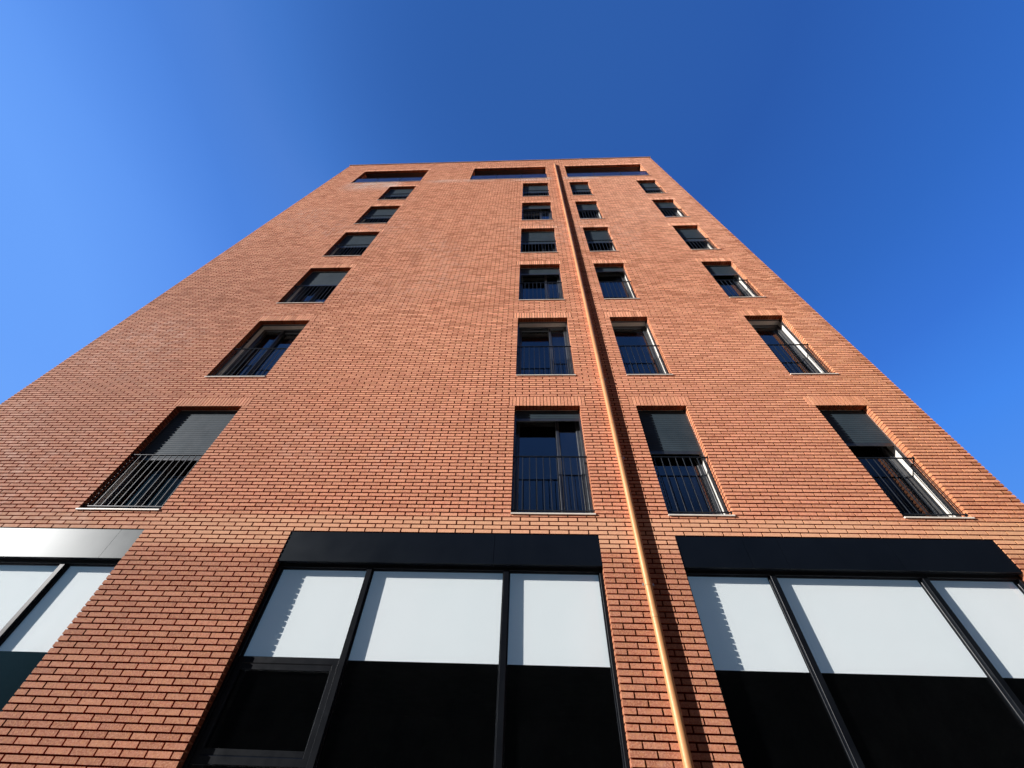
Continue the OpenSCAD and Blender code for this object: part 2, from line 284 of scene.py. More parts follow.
def brick_material(name="brickwork", painted_shade_gain=None):
    g = Graph(name)
    a = g.new("Attribute", attribute_name="brick")
    s = g.new("SeparateColor")
    g.link(a.outputs["Color"], s.inputs[0])
    tone, hue, seed = s.outputs
    x, y, z = g.xyz()
    base = g.ramp(hue, [(0.0, (0.72, 0.290, 0.185)), (0.35, (0.77, 0.325, 0.205)),
                        (0.65, (0.80, 0.365, 0.235)), (1.0, (0.84, 0.425, 0.265))])
    # per-brick lightness
    light = g.span(tone, 0.0, 1.0, 0.78, 1.24)
    lum = g.new("HueSaturation")
    g.link(base, lum.inputs["Color"])
    g.link(light, lum.inputs["Value"])
    col = lum.outputs["Color"]
    # clouds of firing colour, mottling, combed lines, grit and pores
    cloud = g.noise(0.55, 3.0, 0.6)
    col = g.mix(g.span(cloud, 0.4, 0.7, 0.0, 0.30), col, (0.76, 0.42, 0.29))
    tint = g.noise(7.0, 3.0, 0.6, offset=(5.0, 1.0, 3.0))
    col = g.mix(g.span(tint, 0.50, 0.68, 0.0, 0.45), col, (0.80, 0.36, 0.27))
    col = g.mix(g.span(tint, 0.48, 0.32, 0.0, 0.45), col, (0.74, 0.40, 0.22))
    mottle = g.noise(28.0, 4.0, 0.75)
    col = g.mix(g.span(mottle, 0.48, 0.62, 0.0, 0.70), col, (0.45, 0.155, 0.088))
    pale = g.noise(62.0, 3.0, 0.6, offset=(4.0, 2.0, 8.0))
    col = g.mix(g.span(pale, 0.49, 0.62, 0.0, 0.85), col, (1.0, 0.58, 0.40))
    ochre = g.noise(34.0, 4.0, 0.65, offset=(9.0, 6.0, 1.0))
    col = g.mix(g.span(ochre, 0.50, 0.62, 0.0, 0.60), col, (0.98, 0.50, 0.24))
    comb = g.noise(1.0, 3.0, 0.6, stretch=(9.0, 9.0, 190.0))
    col = g.mix(g.span(comb, 0.48, 0.72, 0.0, 0.38), col, (0.84, 0.48, 0.34))
    col = g.mix(g.span(comb, 0.50, 0.30, 0.0, 0.34), col, (0.42, 0.15, 0.09))
    speck = g.noise(210.0, 3.0, 0.6)
    col = g.mix(g.span(speck, 0.55, 0.78, 0.0, 0.40), col, (0.88, 0.54, 0.40))
    pores = g.noise(150.0, 2.0, 0.5, offset=(3.1, 5.2, 1.7))
    col = g.mix(g.span(pores, 0.62, 0.78, 0.0, 0.55), col, (0.25, 0.08, 0.05))
    col = g.mix(1.0, col, (0.965, 0.845, 0.785), "MULTIPLY")
    # darker bricks stand out more the higher the wall
    high = g.span(z, 6.0, 12.0, 0.25, 1.0, True)
    col = g.mix(g.math("MULTIPLY", high, g.span(tone, 0.52, 0.22, 0.0, 0.75)), col, (0.66, 0.58, 0.52), "MULTIPLY")
    col = g.mix(g.math("MULTIPLY", high, g.span(tone, 0.55, 0.80, 0.0, 0.60)), col, (1.10, 1.16, 1.18), "MULTIPLY")
    bands = g.noise(2.6, 4.0, 0.7, stretch=(0.45, 1.0, 2.4), offset=(3.0, 7.0, 5.0))
    col = g.mix(g.math("MULTIPLY", high, g.span(bands, 0.50, 0.34, 0.0, 0.28)), col, (0.80, 0.73, 0.68), "MULTIPLY")
    col = g.mix(g.math("MULTIPLY", high, g.span(bands, 0.52, 0.68, 0.0, 0.28)), col, (1.12, 1.17, 1.20), "MULTIPLY")
    # a paler batch in the band over the shops, and weather from the ground up
    band = g.math("MULTIPLY", g.span(z, 4.10, 4.20, 0, 1, True), g.span(z, 4.68, 4.58, 0, 1, True))
    col = g.mix(g.math("MULTIPLY", band, g.span(g.noise(0.8, 2.0), 0.36, 0.6, 0.25, 0.60)), col, (0.84, 0.50, 0.30))
    # the wall pales upwards and greys below the band; towards its left end, seen against the grazing sun, painted shade
    # darkens it and a painted sky sheen greys it
    col = g.mix(g.span(z, 5.0, 9.5, 0.0, 1.0, True), col, (1.21, 1.285, 1.31), "MULTIPLY")
    col = g.mix(g.math("MULTIPLY", g.span(x, 2.6, 6.0, 0.0, 1.0, True), g.span(z, 11.0, 18.0, 0.0, 1.0, True)), col, (1.12, 1.20, 1.27), "MULTIPLY")
    col = g.mix(g.span(z, 10.0, 11.5, 0.0, 1.0, True), col, (1.035, 1.045, 1.05), "MULTIPLY")
    # painted shade and sheen: darker and greyer towards the left end, fading higher up
    end = g.math("MULTIPLY", g.span(x, 0.5, -7.5, 0.0, 1.0, True), g.span(z, 8.0, 20.0, 1.0, 0.15, True))
    col = g.mix(end, col, (0.62, 0.645, 0.67), "MULTIPLY")
    far = g.math("MULTIPLY", g.span(x, 5.5, 8.3, 0.0, 1.0, True), g.span(z, 14.0, 6.0, 0.0, 1.0, True))
    col = g.mix(far, col, (0.95, 0.96, 0.89), "MULTIPLY")
    low = g.span(z, 4.35, 3.9, 0.0, 1.0, True)
    col = g.mix(low, col, (0.71, 0.72, 0.72), "MULTIPLY")
    dirt = g.math("MULTIPLY", g.span(z, 1.6, 0.0, 0, 1, True), g.span(g.noise(2.2, 4.0), 0.3, 0.7, 0.25, 0.8))
    col = g.mix(dirt, col, (0.20, 0.11, 0.08))
    runs = g.noise(1.0, 4.0, 0.6, stretch=(3.0, 3.0, 0.16))
    col = g.mix(g.span(runs, 0.55, 0.8, 0.0, 0.20), col, (0.32, 0.13, 0.09))
    # salts below the loggias and in a few patches
    salts = g.noise(1.3, 5.0, 0.7, stretch=(1, 1, 1.6), offset=(7.0, 0, 2.0))
    front_only = g.span(y, -5.9, -5.95, 0, 1)
    for x0, x1, x2, x3, z0, z1, amount in ((-7.6, -6.6, -4.9, -4.2, 21.2, 22.8, 0.75), (0.4, 1.9, 2.6, 3.0, 22.45, 22.95, 0.95),
                                           (3.3, 3.75, 4.6, 5.6, 22.6, 23.0, 0.95), (-3.6, -2.6, -0.4, 1.0, 22.5, 23.0, 0.45)):
        m = g.math("MULTIPLY", g.span(x, x0, x1, 0, 1, True), g.span(x, x3, x2, 0, 1, True))
        m = g.math("MULTIPLY", m, g.math("MULTIPLY", g.span(z, z0, z1, 0, 1, True), g.span(z, 23.3, 23.1, 0, 1)))
        m = g.math("MULTIPLY", g.math("MULTIPLY", m, front_only), g.span(salts, 0.34, 0.60, 0.15, amount))
        col = g.mix(m, col, (0.95, 0.80, 0.70))
    patch = g.noise(0.23, 3.0, 0.5, offset=(1.0, 4.0, 9.0))
    fine = g.noise(5.0, 4.0, 0.6, offset=(2.0, 3.0, 4.0))
    spots = g.math("MULTIPLY", g.span(patch, 0.56, 0.70, 0.0, 1.0), g.span(fine, 0.45, 0.65, 0.0, 0.45))
    col = g.mix(spots, col, (0.82, 0.58, 0.48))
    # a gain darkens a copy of the brickwork: painted shade for the faces it goes on
    if painted_shade_gain:
        col = g.mix(1.0, col, painted_shade_gain, "MULTIPLY")
    rough = g.span(g.noise(60.0, 3.0), 0.2, 0.8, 0.78, 0.95)
    coarse = g.noise(55.0, 4.0, 0.65)
    n = g.bump(coarse, 0.55, 0.0030)
    n = g.bump(comb, 0.60, 0.0016, n)
    n = g.bump(speck, 0.45, 0.0010, n)
    g.surface(col, rough, 0.0, n, Specular_IOR_Level=0.22, Diffuse_Roughness=0.05)
    return g.mat


def edge_material():
    """The upper, lower and jointed sides of the bricks: gritty, in a dark red that is painted shade in the joints and
    under the bricks.
    """
    g = Graph("brick_edges_painted_shade")
    n1 = g.noise(30.0, 4.0, 0.65)
    n2 = g.noise(140.0, 3.0, 0.6)
    col = g.ramp(n1, [(0.3, (0.42, 0.062, 0.018)), (0.7, (0.56, 0.090, 0.026))])
    col = g.mix(g.span(n2, 0.50, 0.75, 0.0, 0.5), col, (0.28, 0.036, 0.012))
    g.surface(col, g.span(n1, 0.2, 0.8, 0.84, 0.96), 0.0, g.bump(n2, 0.5, 0.0015), Specular_IOR_Level=0.02)
    return g.mat


def pointing_material():
    """The flush joints of the reveals."""
    g = Graph("reveal_pointing")
    n1 = g.noise(50.0, 4.0, 0.6)
    col = g.ramp(n1, [(0.3, (0.30, 0.120, 0.065)), (0.7, (0.42, 0.190, 0.110))])
    g.surface(col, g.span(n1, 0.2, 0.8, 0.85, 0.98), 0.0, g.bump(g.noise(260.0, 3.0, 0.7), 0.5, 0.0015), Specular_IOR_Level=0.15)
    return g.mat


def mortar_material():
    g = Graph("mortar")
    n1 = g.noise(40.0, 4.0, 0.6)
    n2 = g.noise(1.2, 3.0, 0.6)
    col = g.ramp(n1, [(0.3, (0.085, 0.015, 0.005)), (0.7, (0.130, 0.025, 0.009))])
    col = g.mix(g.span(n2, 0.4, 0.7, 0.0, 0.3), col, (0.12, 0.036, 0.018))
    g.surface(col, g.span(n1, 0.2, 0.8, 0.85, 0.98), 0.0, g.bump(g.noise(260.0, 3.0, 0.7), 0.6, 0.002), Specular_IOR_Level=0.02)
    return g.mat


def metal_paint(name, c0, c1, rough=(0.3, 0.45), metallic=0.0, scale=9.0, dust=None, bump=0.0004, spec=0.5, coat=0.0):
    g = Graph(name)
    n = g.noise(scale, 4.0, 0.6)
    col = g.ramp(n, [(0.3, c0), (0.7, c1)])
    if dust:
        streak = g.noise(1.0, 4.0, 0.6, stretch=(7.0, 7.0, 0.7))
        col = g.mix(g.span(streak, 0.5, 0.8, 0.0, dust[1]), col, dust[0])
    r = g.span(g.noise(scale * 2.3, 3.0), 0.25, 0.75, rough[0], rough[1])
    nb = g.bump(g.noise(scale * 12, 3.0), 0.3, bump)
    g.surface(col, r, metallic, nb, Specular_IOR_Level=spec, Coat_Weight=coat)
    return g.mat


def glass_material(name, tint, rough=0.02, mirror=0.08, body=(0.01, 0.015, 0.03), body_share=0.35, wave=0.0006):
    """See-through sheet glass: clear light with a tint, a dark body and a mirror film by Fresnel."""
    g = Graph(name)
    big = g.noise(0.9, 2.0, 0.5)
    fine = g.noise(6.0, 2.0, 0.5)
    nrm = g.bump(big, 0.35, wave * 8)
    nrm = g.bump(fine, 0.2, wave, nrm)
    dust = g.noise(3.0, 5.0, 0.65, stretch=(1, 1, 0.5))
    clear = g.new("BsdfTransparent")
    clear.inputs["Color"].default_value = (*tint, 1)
    dark = g.new("BsdfDiffuse")
    g.link(g.mix(g.span(dust, 0.35, 0.75, 0.0, 0.55), body, tuple(min(1, c * 2.6 + 0.02) for c in body)), dark.inputs["Color"])
    m1 = g.new("MixShader")
    g.put(m1.inputs[0], g.span(dust, 0.3, 0.8, body_share * 0.8, min(1.0, body_share * 1.15)))
    g.link(clear.outputs[0], m1.inputs[1])
    g.link(dark.outputs[0], m1.inputs[2])
    gl = g.new("BsdfGlossy")
    gl.inputs["Color"].default_value = (0.92, 0.96, 1.0, 1)
    g.put(gl.inputs["Roughness"], g.span(dust, 0.3, 0.8, rough, rough * 2.5))
    g.link(nrm, gl.inputs["Normal"])
    # mirror share by the angle of sight, the same from both sides of the face
    lw = g.new("LayerWeight")
    lw.inputs["Blend"].default_value = 0.5
    g.link(nrm, lw.inputs["Normal"])
    share = g.math("MULTIPLY", g.math("POWER", lw.outputs["Facing"], 5.0), 1.0 - mirror)
    m2 = g.new("MixShader")
    g.link(g.math("ADD", share, mirror), m2.inputs[0])
    g.link(m1.outputs[0], m2.inputs[1])
    g.link(gl.outputs[0], m2.inputs[2])
    g.link(m2.outputs[0], g.out.inputs["Surface"])
    return g.mat


def clear_material(name, tint, dirt=0.04):
    """The inner faces of a pane: see-through with a little grime."""
    g = Graph(name)
    clear = g.new("BsdfTransparent")
    clear.inputs["Color"].default_value = (*tint, 1)
    dark = g.new("BsdfDiffuse")
    n = g.noise(4.0, 5.0, 0.65)
    g.link(g.ramp(n, [(0.3, (0.05, 0.055, 0.06)), (0.7, (0.12, 0.125, 0.13))]), dark.inputs["Color"])
    m = g.new("MixShader")
    g.put(m.inputs[0], g.span(n, 0.3, 0.8, dirt * 0.5, dirt * 1.5))
    g.link(clear.outputs[0], m.inputs[1])
    g.link(dark.outputs[0], m.inputs[2])
    g.link(m.outputs[0], g.out.inputs["Surface"])
    return g.mat


def concrete_material(name, c0, c1, rough=0.9):
    g = Graph(name)
    n = g.noise(3.5, 5.0, 0.65)
    f = g.noise(45.0, 4.0, 0.6)
    col = g.mix(g.span(f, 0.35, 0.7, 0.0, 0.35), g.ramp(n, [(0.3, c0), (0.7, c1)]), tuple(c * 0.6 for c in c0))
    g.surface(col, g.span(f, 0.2, 0.8, rough - 0.08, rough), 0.0, g.bump(f, 0.5, 0.003), Specular_IOR_Level=0.3)
    return g.mat


def fabric_material():
    g = Graph("blind_cloth_painted_skylight")
    wx = g.new("TexWave", wave_type="BANDS", bands_direction="X")
    wz = g.new("TexWave", wave_type="BANDS", bands_direction="Z")
    for w in (wx, wz):
        g.link(g.coords(), w.inputs["Vector"])
        w.inputs["Scale"].default_value = 160.0
        w.inputs["Distortion"].default_value = 0.6
    weave = g.math("MULTIPLY", wx.outputs["Fac"], wz.outputs["Fac"])
    soft = g.noise(1.1, 4.0, 0.55, stretch=(1.0, 1.0, 0.5))
    col = g.ramp(soft, [(0.3, (0.87, 0.90, 0.88)), (0.7, (0.91, 0.92, 0.90))])
    col = g.mix(g.span(weave, 0.0, 0.6, 0.20, 0.0), col, (0.72, 0.75, 0.75))
    # the faint blue glow is painted skylight: it lifts the shaded parts of the cloth blue and the lit parts a little
    g.surface(col, 0.85, 0.0, g.bump(weave, 0.25, 0.0006), Specular_IOR_Level=0.25, Sheen_Weight=0.15,
              Emission_Color=(0.038, 0.080, 0.132, 1.0), Emission_Strength=1.0)
    return g.mat


def wood_ceiling_material():
    g = Graph("ceiling_boards")
    grain = g.noise(2.2, 5.0, 0.6, stretch=(0.6, 16.0, 1.0))
    col = g.ramp(grain, [(0.3, (0.026, 0.009, 0.006)), (0.7, (0.060, 0.022, 0.013))])
    g.surface(col, g.span(grain, 0.3, 0.7, 0.45, 0.65), 0.0, g.bump(grain, 0.4, 0.001), Specular_IOR_Level=0.35)
    return g.mat


def copper_material():
    g = Graph("copper_pipe")
    n = g.noise(2.0, 5.0, 0.6, stretch=(1, 1, 0.5))
    fine = g.noise(35.0, 4.0, 0.6)
    col = g.ramp(n, [(0.3, (0.50, 0.225, 0.080)), (0.7, (0.62, 0.300, 0.125))])
    col = g.mix(g.span(fine, 0.55, 0.8, 0.0, 0.35), col, (0.34, 0.14, 0.06))
    g.surface(col, g.span(fine, 0.25, 0.75, 0.44, 0.56), 0.12, g.bump(fine, 0.25, 0.0006), Specular_IOR_Level=0.5)
    return g.mat


def roof_material():
    g = Graph("roof_felt")
    n = g.noise(0.9, 5.0, 0.65)
    grit = g.noise(180.0, 2.0, 0.6)
    col = g.ramp(n, [(0.3, (0.085, 0.088, 0.092)), (0.7, (0.15, 0.15, 0.148))])
    col = g.mix(g.span(grit, 0.5, 0.7, 0.0, 0.5), col, (0.22, 0.22, 0.215))
    g.surface(col, 0.92, 0.0, g.bump(grit, 0.6, 0.002), Specular_IOR_Level=0.3)
    return g.mat


def floor_material():
    g = Graph("studio_floor")
    n = g.noise(0.15, 3.0)
    g.surface(g.ramp(n, [(0.3, (0.62, 0.62, 0.61)), (0.7, (0.66, 0.66, 0.65))]), 0.9, 0.0, None, Specular_IOR_Level=0.2)
    return g.mat


M_BRICK = brick_material()
# the brick ends and reveals: a slightly darker, redder copy of the brickwork, a little painted shade
M_JAMB = brick_material("brickwork_reveals_painted_shade", (0.74, 0.68, 0.60))
# the soldiers' undersides and the left reveals of the front openings: a much darker copy of the brickwork, painted
# shade where the sun does not reach
M_SHADE = brick_material("brickwork_painted_shade_heads_and_left_reveals", (0.32, 0.21, 0.15))
# the brick beds and joint sides: dark red, painted shade
M_EDGE_SHADE = edge_material()
M_MORTAR = mortar_material()
M_POINTING = pointing_material()
M_REVEAL = metal_paint("reveal_board", (0.60, 0.57, 0.51), (0.72, 0.69, 0.63), (0.45, 0.6), scale=4.0, dust=((0.44, 0.40, 0.34), 0.4))
M_LINING = metal_paint("reveal_lining", (0.018, 0.017, 0.018), (0.035, 0.033, 0.033), (0.45, 0.6), dust=((0.09, 0.08, 0.075), 0.3))
M_FRAME = metal_paint("window_frame_metal", (0.020, 0.022, 0.026), (0.036, 0.039, 0.045), (0.26, 0.38), 0.0, dust=((0.06, 0.06, 0.062), 0.3), spec=0.6)
M_RAIL = metal_paint("railing_metal", (0.006, 0.009, 0.013), (0.012, 0.016, 0.022), (0.42, 0.50), 0.0, scale=20.0, dust=((0.026, 0.028, 0.032), 0.25), spec=0.24)
M_SHUTTER = metal_paint("shutter_slats", (0.029, 0.044, 0.056), (0.042, 0.060, 0.074), (0.60, 0.70), 0.0, scale=3.0, dust=((0.054, 0.064, 0.070), 0.2), spec=0.13)
M_SHUTTER_BAR = metal_paint("shutter_bar", (0.022, 0.026, 0.030), (0.036, 0.040, 0.046), (0.28, 0.34), 0.0, scale=5.0, dust=((0.07, 0.07, 0.07), 0.3), spec=0.45)
M_GUIDE = metal_paint("shutter_guide", (0.030, 0.033, 0.038), (0.055, 0.060, 0.066), (0.24, 0.34), 0.1, scale=5.0, dust=((0.10, 0.10, 0.10), 0.3), spec=0.6)
M_SILL = metal_paint("sill_paint", (0.70, 0.64, 0.55), (0.82, 0.77, 0.68), (0.45, 0.6), 0.0, scale=4.0, dust=((0.45, 0.40, 0.35), 0.35))
M_COPING = metal_paint("coping_metal", (0.50, 0.40, 0.36), (0.62, 0.51, 0.46), (0.4, 0.55), 0.2, scale=2.0, dust=((0.32, 0.25, 0.22), 0.4))
M_FASCIA = metal_paint("fascia_paint", (0.0034, 0.0050, 0.0080), (0.0050, 0.0070, 0.0108), (0.32, 0.37), 0.0, scale=1.6, dust=((0.013, 0.015, 0.019), 0.10), bump=0.0002, spec=0.175)
for _n in M_FASCIA.node_tree.nodes:
    if _n.type == "BSDF_PRINCIPLED":
        _n.inputs["Specular Tint"].default_value = (0.80, 0.93, 0.95, 1)
M_POST = metal_paint("shop_frame_paint", (0.0035, 0.0045, 0.0065), (0.0065, 0.0080, 0.0105), (0.32, 0.40), 0.0, scale=5.0, dust=((0.020, 0.021, 0.024), 0.2), spec=0.13)
M_CLAMP = metal_paint("clamp_metal", (0.36, 0.34, 0.32), (0.52, 0.49, 0.46), (0.35, 0.5), 0.4, scale=30.0, dust=((0.30, 0.16, 0.10), 0.4))
# the window glass's grey tint and dark body are painted shade that keeps the rooms behind it dark
M_GLASS = glass_material("window_glass", (0.22, 0.26, 0.33), body=(0.004, 0.006, 0.012), body_share=0.40)
M_GLASS_IN = clear_material("window_glass_inside", (0.80, 0.83, 0.86))
M_SHOP_GLASS = glass_material("shop_glass", (0.975, 0.985, 0.985), body=(0.02, 0.025, 0.03), body_share=0.012, wave=0.0002, mirror=0.08)
M_SHOP_GLASS_IN = clear_material("shop_glass_inside", (0.99, 0.995, 0.99), 0.008)
M_BAL_GLASS = glass_material("balustrade_glass", (0.16, 0.15, 0.18), body=(0.030, 0.020, 0.025), body_share=0.55, rough=0.05, mirror=0.013)
M_BAL_GLASS_IN = clear_material("balustrade_glass_inside", (0.80, 0.84, 0.88))
M_BLIND = fabric_material()
M_CEIL = wood_ceiling_material()
M_COPPER = copper_material()
M_ROOF = roof_material()
M_RENDER = concrete_material("parapet_render", (0.42, 0.40, 0.37), (0.52, 0.50, 0.46))
# the plaster and the slabs inside are near black: painted shade of the unlit rooms seen through the glass
M_INSIDE_PAINTED_DARK = concrete_material("inside_plaster_painted_dark", (0.050, 0.048, 0.046), (0.075, 0.072, 0.068))
M_SLAB_PAINTED_DARK = concrete_material("slab_concrete_painted_dark", (0.060, 0.058, 0.055), (0.095, 0.092, 0.088))
M_SEAL = metal_paint("rubber_seal", (0.008, 0.008, 0.008), (0.014, 0.014, 0.014), (0.6, 0.8), scale=15.0)


# ------------------------------------------------------------------ brickwork
class Wall:
    """One face of brickwork: s runs along it, d into it, z up."""

    def __init__(self, origin, s_dir, d_dir):
        self.o, self.s, self.d = (np.array(v, float) for v in (origin, s_dir, d_dir))

    def points(self, s, d, z):
        p = self.o[None] + s[:, None] * self.s[None] + d[:, None] * self.d[None]
        p[:, 2] += z
        return p


FRONT = Wall((0, YF, 0), (1, 0, 0), (0, 1, 0))
REAR = Wall((0, YB, 0), (-1, 0, 0), (0, -1, 0))
LEFT = Wall((XL, 0, 0), (0, -1, 0), (1, 0, 0))
RIGHT = Wall((XR, 0, 0), (0, 1, 0), (-1, 0, 0))

THIN, DEEP = 0.0205, 0.115
HALF_BED, HALF_PERP = 0.0077, 0.0094


def lay(intervals, cuts, joint=HALF_PERP, least=0.045):
    """Bricks of one course: intervals are (a, b, kind_a, kind_b), cuts the upright joints' middles."""
    out = []
    for a, b, ka, kb in intervals:
        if b - a < 0.02:
            continue
        a0 = a + (joint if ka == "J" else 0.0)
        b0 = b - (joint if kb == "J" else 0.0)
        inside = [c for c in cuts if a0 + least < c < b0 - least]
        edges = [a0] + inside + [b0]
        for i in range(len(edges) - 1):
            s0 = edges[i] + (joint if i else 0.0)
            s1 = edges[i + 1] - (joint if i < len(edges) - 2 else 0.0)
            deep = (i == 0 and ka == "E") or (i == len(edges) - 2 and kb == "E")
            out.append((s0, s1, deep))
    return out


def subtract(intervals, a, b, kind):
    out = []
    for p, q, kp, kq in intervals:
        if b <= p or a >= q:
            out.append((p, q, kp, kq))
            continue
        if a > p:
            out.append((p, a, kp, kind))
        if b < q:
            out.append((b, q, kind, kq))
    return out


def course_bricks(c0, c1, ends, holes, cuts_of, soldiers, z_top=Z_WALL):
    """Lists of (s0, s1, z0, z1, depth) for the courses c0 to c1 - 1."""
    rows = []
    heads = {}
    for a, b, h0, h1, kind in holes:
        if kind in ("E", "L"):
            heads.setdefault(h1, []).append((a, b))
    for c in range(c0, c1):
        half = HALF_BED + (0.0 if c < 74 else 0.0015 if c < 170 else 0.0030)
        z0 = c * COURSE + half
        z1 = min((c + 1) * COURSE - half, z_top)
        if c == 0:
            z0 = 0.0
        if z1 - z0 < 0.012:
            continue
        odd = c % 2
        iv = [ends[odd]]
        for a, b, h0, h1, kind in holes:
            if h0 <= c < h1:
                iv = subtract(iv, a, b, "E")
        for a, b, h0 in soldiers:
            if h0 <= c < h0 + 4:
                iv = subtract(iv, a, b, "J")
        for a, b, h0, h1, kind in holes:
            if kind == "W" and h0 == c:
                for s0, s1, deep in lay([(a, b, "J", "J")], cuts_of(odd)):
                    rows.append((s0, s1, z0, (c + 1) * COURSE - SILL_T - 0.001, THIN))
        for s0, s1, deep in lay(iv, cuts_of(odd)):
            if not deep and c in heads:
                deep = any(s0 < b and s1 > a for a, b in heads[c])
            rows.append((s0, s1, z0, z1, DEEP if deep else THIN))
    return rows


def soldier_bricks(soldiers):
    rows = []
    for a, b, h0 in soldiers:
        n = round((b - a) / COURSE)
        p = (b - a) / n
        for i in range(n):
            rows.append((a + i * p + 0.0052, a + (i + 1) * p - 0.0052, h0 * COURSE, (h0 + 4) * COURSE - HALF_BED, DEEP))
    return rows


def brick_mesh(name, wall, rows, seed):
    rng = np.random.default_rng(seed)
    r = np.array(rows, float)
    n = len(r)
    s0, s1, z0, z1, dep = r.T
    s0, s1, z0, z1 = s0.copy(), s1.copy(), z0.copy(), z1.copy()
    free = dep < 0.05
    j = rng.uniform(-0.0012, 0.0012, (4, n))
    s0 += np.where(free, j[0], 0.0)
    s1 += np.where(free, j[1], 0.0)
    z0 += np.where(free & (z0 > 0.01), j[2] * 0.7, 0.0)
    z1 += np.where(free, j[3] * 0.7, 0.0)
    out = rng.uniform(0.0, 0.0014, n)          # each face sits a little behind the wall's plane
    tip = rng.uniform(0.0, 0.0008, (4, n))     # and is a little out of true
    corners = [(s0, out + tip[0], z0), (s1, out + tip[1], z0), (s1, out + tip[2], z1), (s0, out + tip[3], z1),
               (s0, dep, z0), (s1, dep, z0), (s1, dep, z1), (s0, dep, z1)]
    v = np.stack([wall.points(a, b, c) for a, b, c in corners], 1).reshape(-1, 3)
    # an exposed end or a soffit keeps the opening's exact edge
    quads = np.array([(0, 1, 2, 3), (0, 3, 7, 4), (1, 5, 6, 2), (0, 4, 5, 1), (3, 2, 6, 7)])
    f = (np.arange(n)[:, None, None] * 8 + quads[None]).reshape(-1, 4)
    me = bpy.data.meshes.new(name)
    me.from_pydata(v.tolist(), [], f.tolist())
    tone = np.clip(rng.normal(0.5, 0.2, n), 0, 1)
    odd = rng.random(n)
    tone = np.where(odd < 0.03, tone * 0.45, np.where(odd > 0.975, 1.0, tone))
    hue = np.clip(rng.normal(0.5, 0.22, n), 0, 1)
    col = np.stack([tone, hue, rng.random(n), np.ones(n)], 1)
    at = me.attributes.new("brick", "FLOAT_COLOR", "POINT")
    at.data.foreach_set("color", np.repeat(col, 8, 0).astype(np.float32).ravel())
    for m in (M_BRICK, M_EDGE_SHADE, M_JAMB, M_SHADE):
        me.materials.append(m)
    # beds and the right sides in upright joints take the dark red edge colour, painted shade in the joints; the left
    # ends, which take the sun, show a slightly darker copy of the clay, as do the right ends round an opening on the
    # sides and rear (the soldiers' undersides, and on the front the right ends round an opening, take a much darker
    # copy: painted shade where the sun does not reach)
    ends = np.where(free | (z1 - z0 > 0.2), 1, 2)
    left, heads = np.full(n, 2), np.where(z1 - z0 > 0.2, 3, 1)
    if wall is FRONT:
        left = np.where(s0 < -8.3, 0, left)
        ends = np.where(s1 > 8.3, 0, np.where(ends == 2, 3, ends))
    index = np.stack([np.zeros(n, int), left, ends, heads, np.ones(n, int)], 1)
    me.polygons.foreach_set("material_index", index.ravel().astype(np.int32))
    me.update()
    return finish_piece(name, me, ())


def c_of(z):
    return int(round(z / COURSE))


# the street front
PERP = (np.array([0, 14.5, 19.5, 40, 44.5, 48.5, 52, 61, 64.5, 68]),
        np.array([-8.505, -4.895, -3.625, 1.485, 2.665, 3.66, 4.55, 6.775, 7.66, 8.505]))


def front_cuts(odd):
    return list(np.interp(np.arange(0, 68) + (0.5 if odd else 0.0), *PERP))


front_holes, front_soldiers = [], []
for a, b in COLS:
    for k in range(1, 7):
        front_holes.append((a, b, c_of(sill(k)) - 1, c_of(sill(k) + WIN_H), "W"))
        front_soldiers.append((a - 0.1, b + 0.1, c_of(sill(k) + WIN_H)))
for a, b in BAYS:
    front_holes.append((a, b, 4, 70, "E"))
for a, b in LOGS:
    front_holes.append((a, b, c_of(Z_LOG0) - 1, c_of(Z_LOG1), "W"))
    front_soldiers.append((a - 0.1, b + 0.1, c_of(Z_LOG1)))
front_ends = {0: (XL, XR, "E", "E"), 1: (XL + 0.125, XR - 0.125, "C", "C")}


def front_piece(name, c0, c1, seed):
    rows = course_bricks(c0, c1, front_ends, front_holes, front_cuts, front_soldiers)
    rows += soldier_bricks([s for s in front_soldiers if c0 <= s[2] < c1])
    return brick_mesh(name, FRONT, rows, seed)


front_piece("bricks_front_lower", 0, 124, 11)
front_piece("bricks_front_middle", 124, 270, 12)
front_piece("bricks_front_upper", 270, 432, 13)


# the sides and the rear
def plain_cuts(length):
    def f(odd):
        # odd courses run to the corner on the sides
        first = 0.0 if odd else 0.125
        return [-length / 2 - 0.005 + first + 0.25 * i for i in range(1 if odd else 0, int(length / 0.25) + 1)]
    return f


def rear_cuts(odd):
    first = 0.125 if odd else 0.0
    return [-8.505 + first + 0.25 * i * (17.01 / 17.0) for i in range(0, 69)]


side_holes = [(SIDE_COL[0], SIDE_COL[1], c_of(sill(k)) - 1, c_of(sill(k) + WIN_H), "W") for k in range(1, 8)]
side_soldiers = [(SIDE_COL[0] - 0.125, SIDE_COL[1] + 0.125, c_of(sill(k) + WIN_H)) for k in range(1, 8)]
side_ends = {1: (-6.0, 6.0, "E", "E"), 0: (-5.875, 5.875, "C", "C")}
for label, wall, seed in (("left", LEFT, 31), ("right", RIGHT, 41)):
    for part, (c0, c1) in enumerate(((0, 172), (172, 319), (319, 432))):
        rows = course_bricks(c0, c1, side_ends, side_holes, plain_cuts(12.0), side_soldiers)
        rows += soldier_bricks([s for s in side_soldiers if c0 <= s[2] < c1])
        brick_mesh("bricks_%s_%d" % (label, part + 1), wall, rows, seed + part)
rear_holes = [(-b, -a, c_of(sill(k)) - 1, c_of(sill(k) + WIN_H), "W") for a, b in BACK_COLS for k in range(1, 8)]
rear_soldiers = [(-b - 0.125, -a + 0.125, c_of(sill(k) + WIN_H)) for a, b in BACK_COLS for k in range(1, 8)]
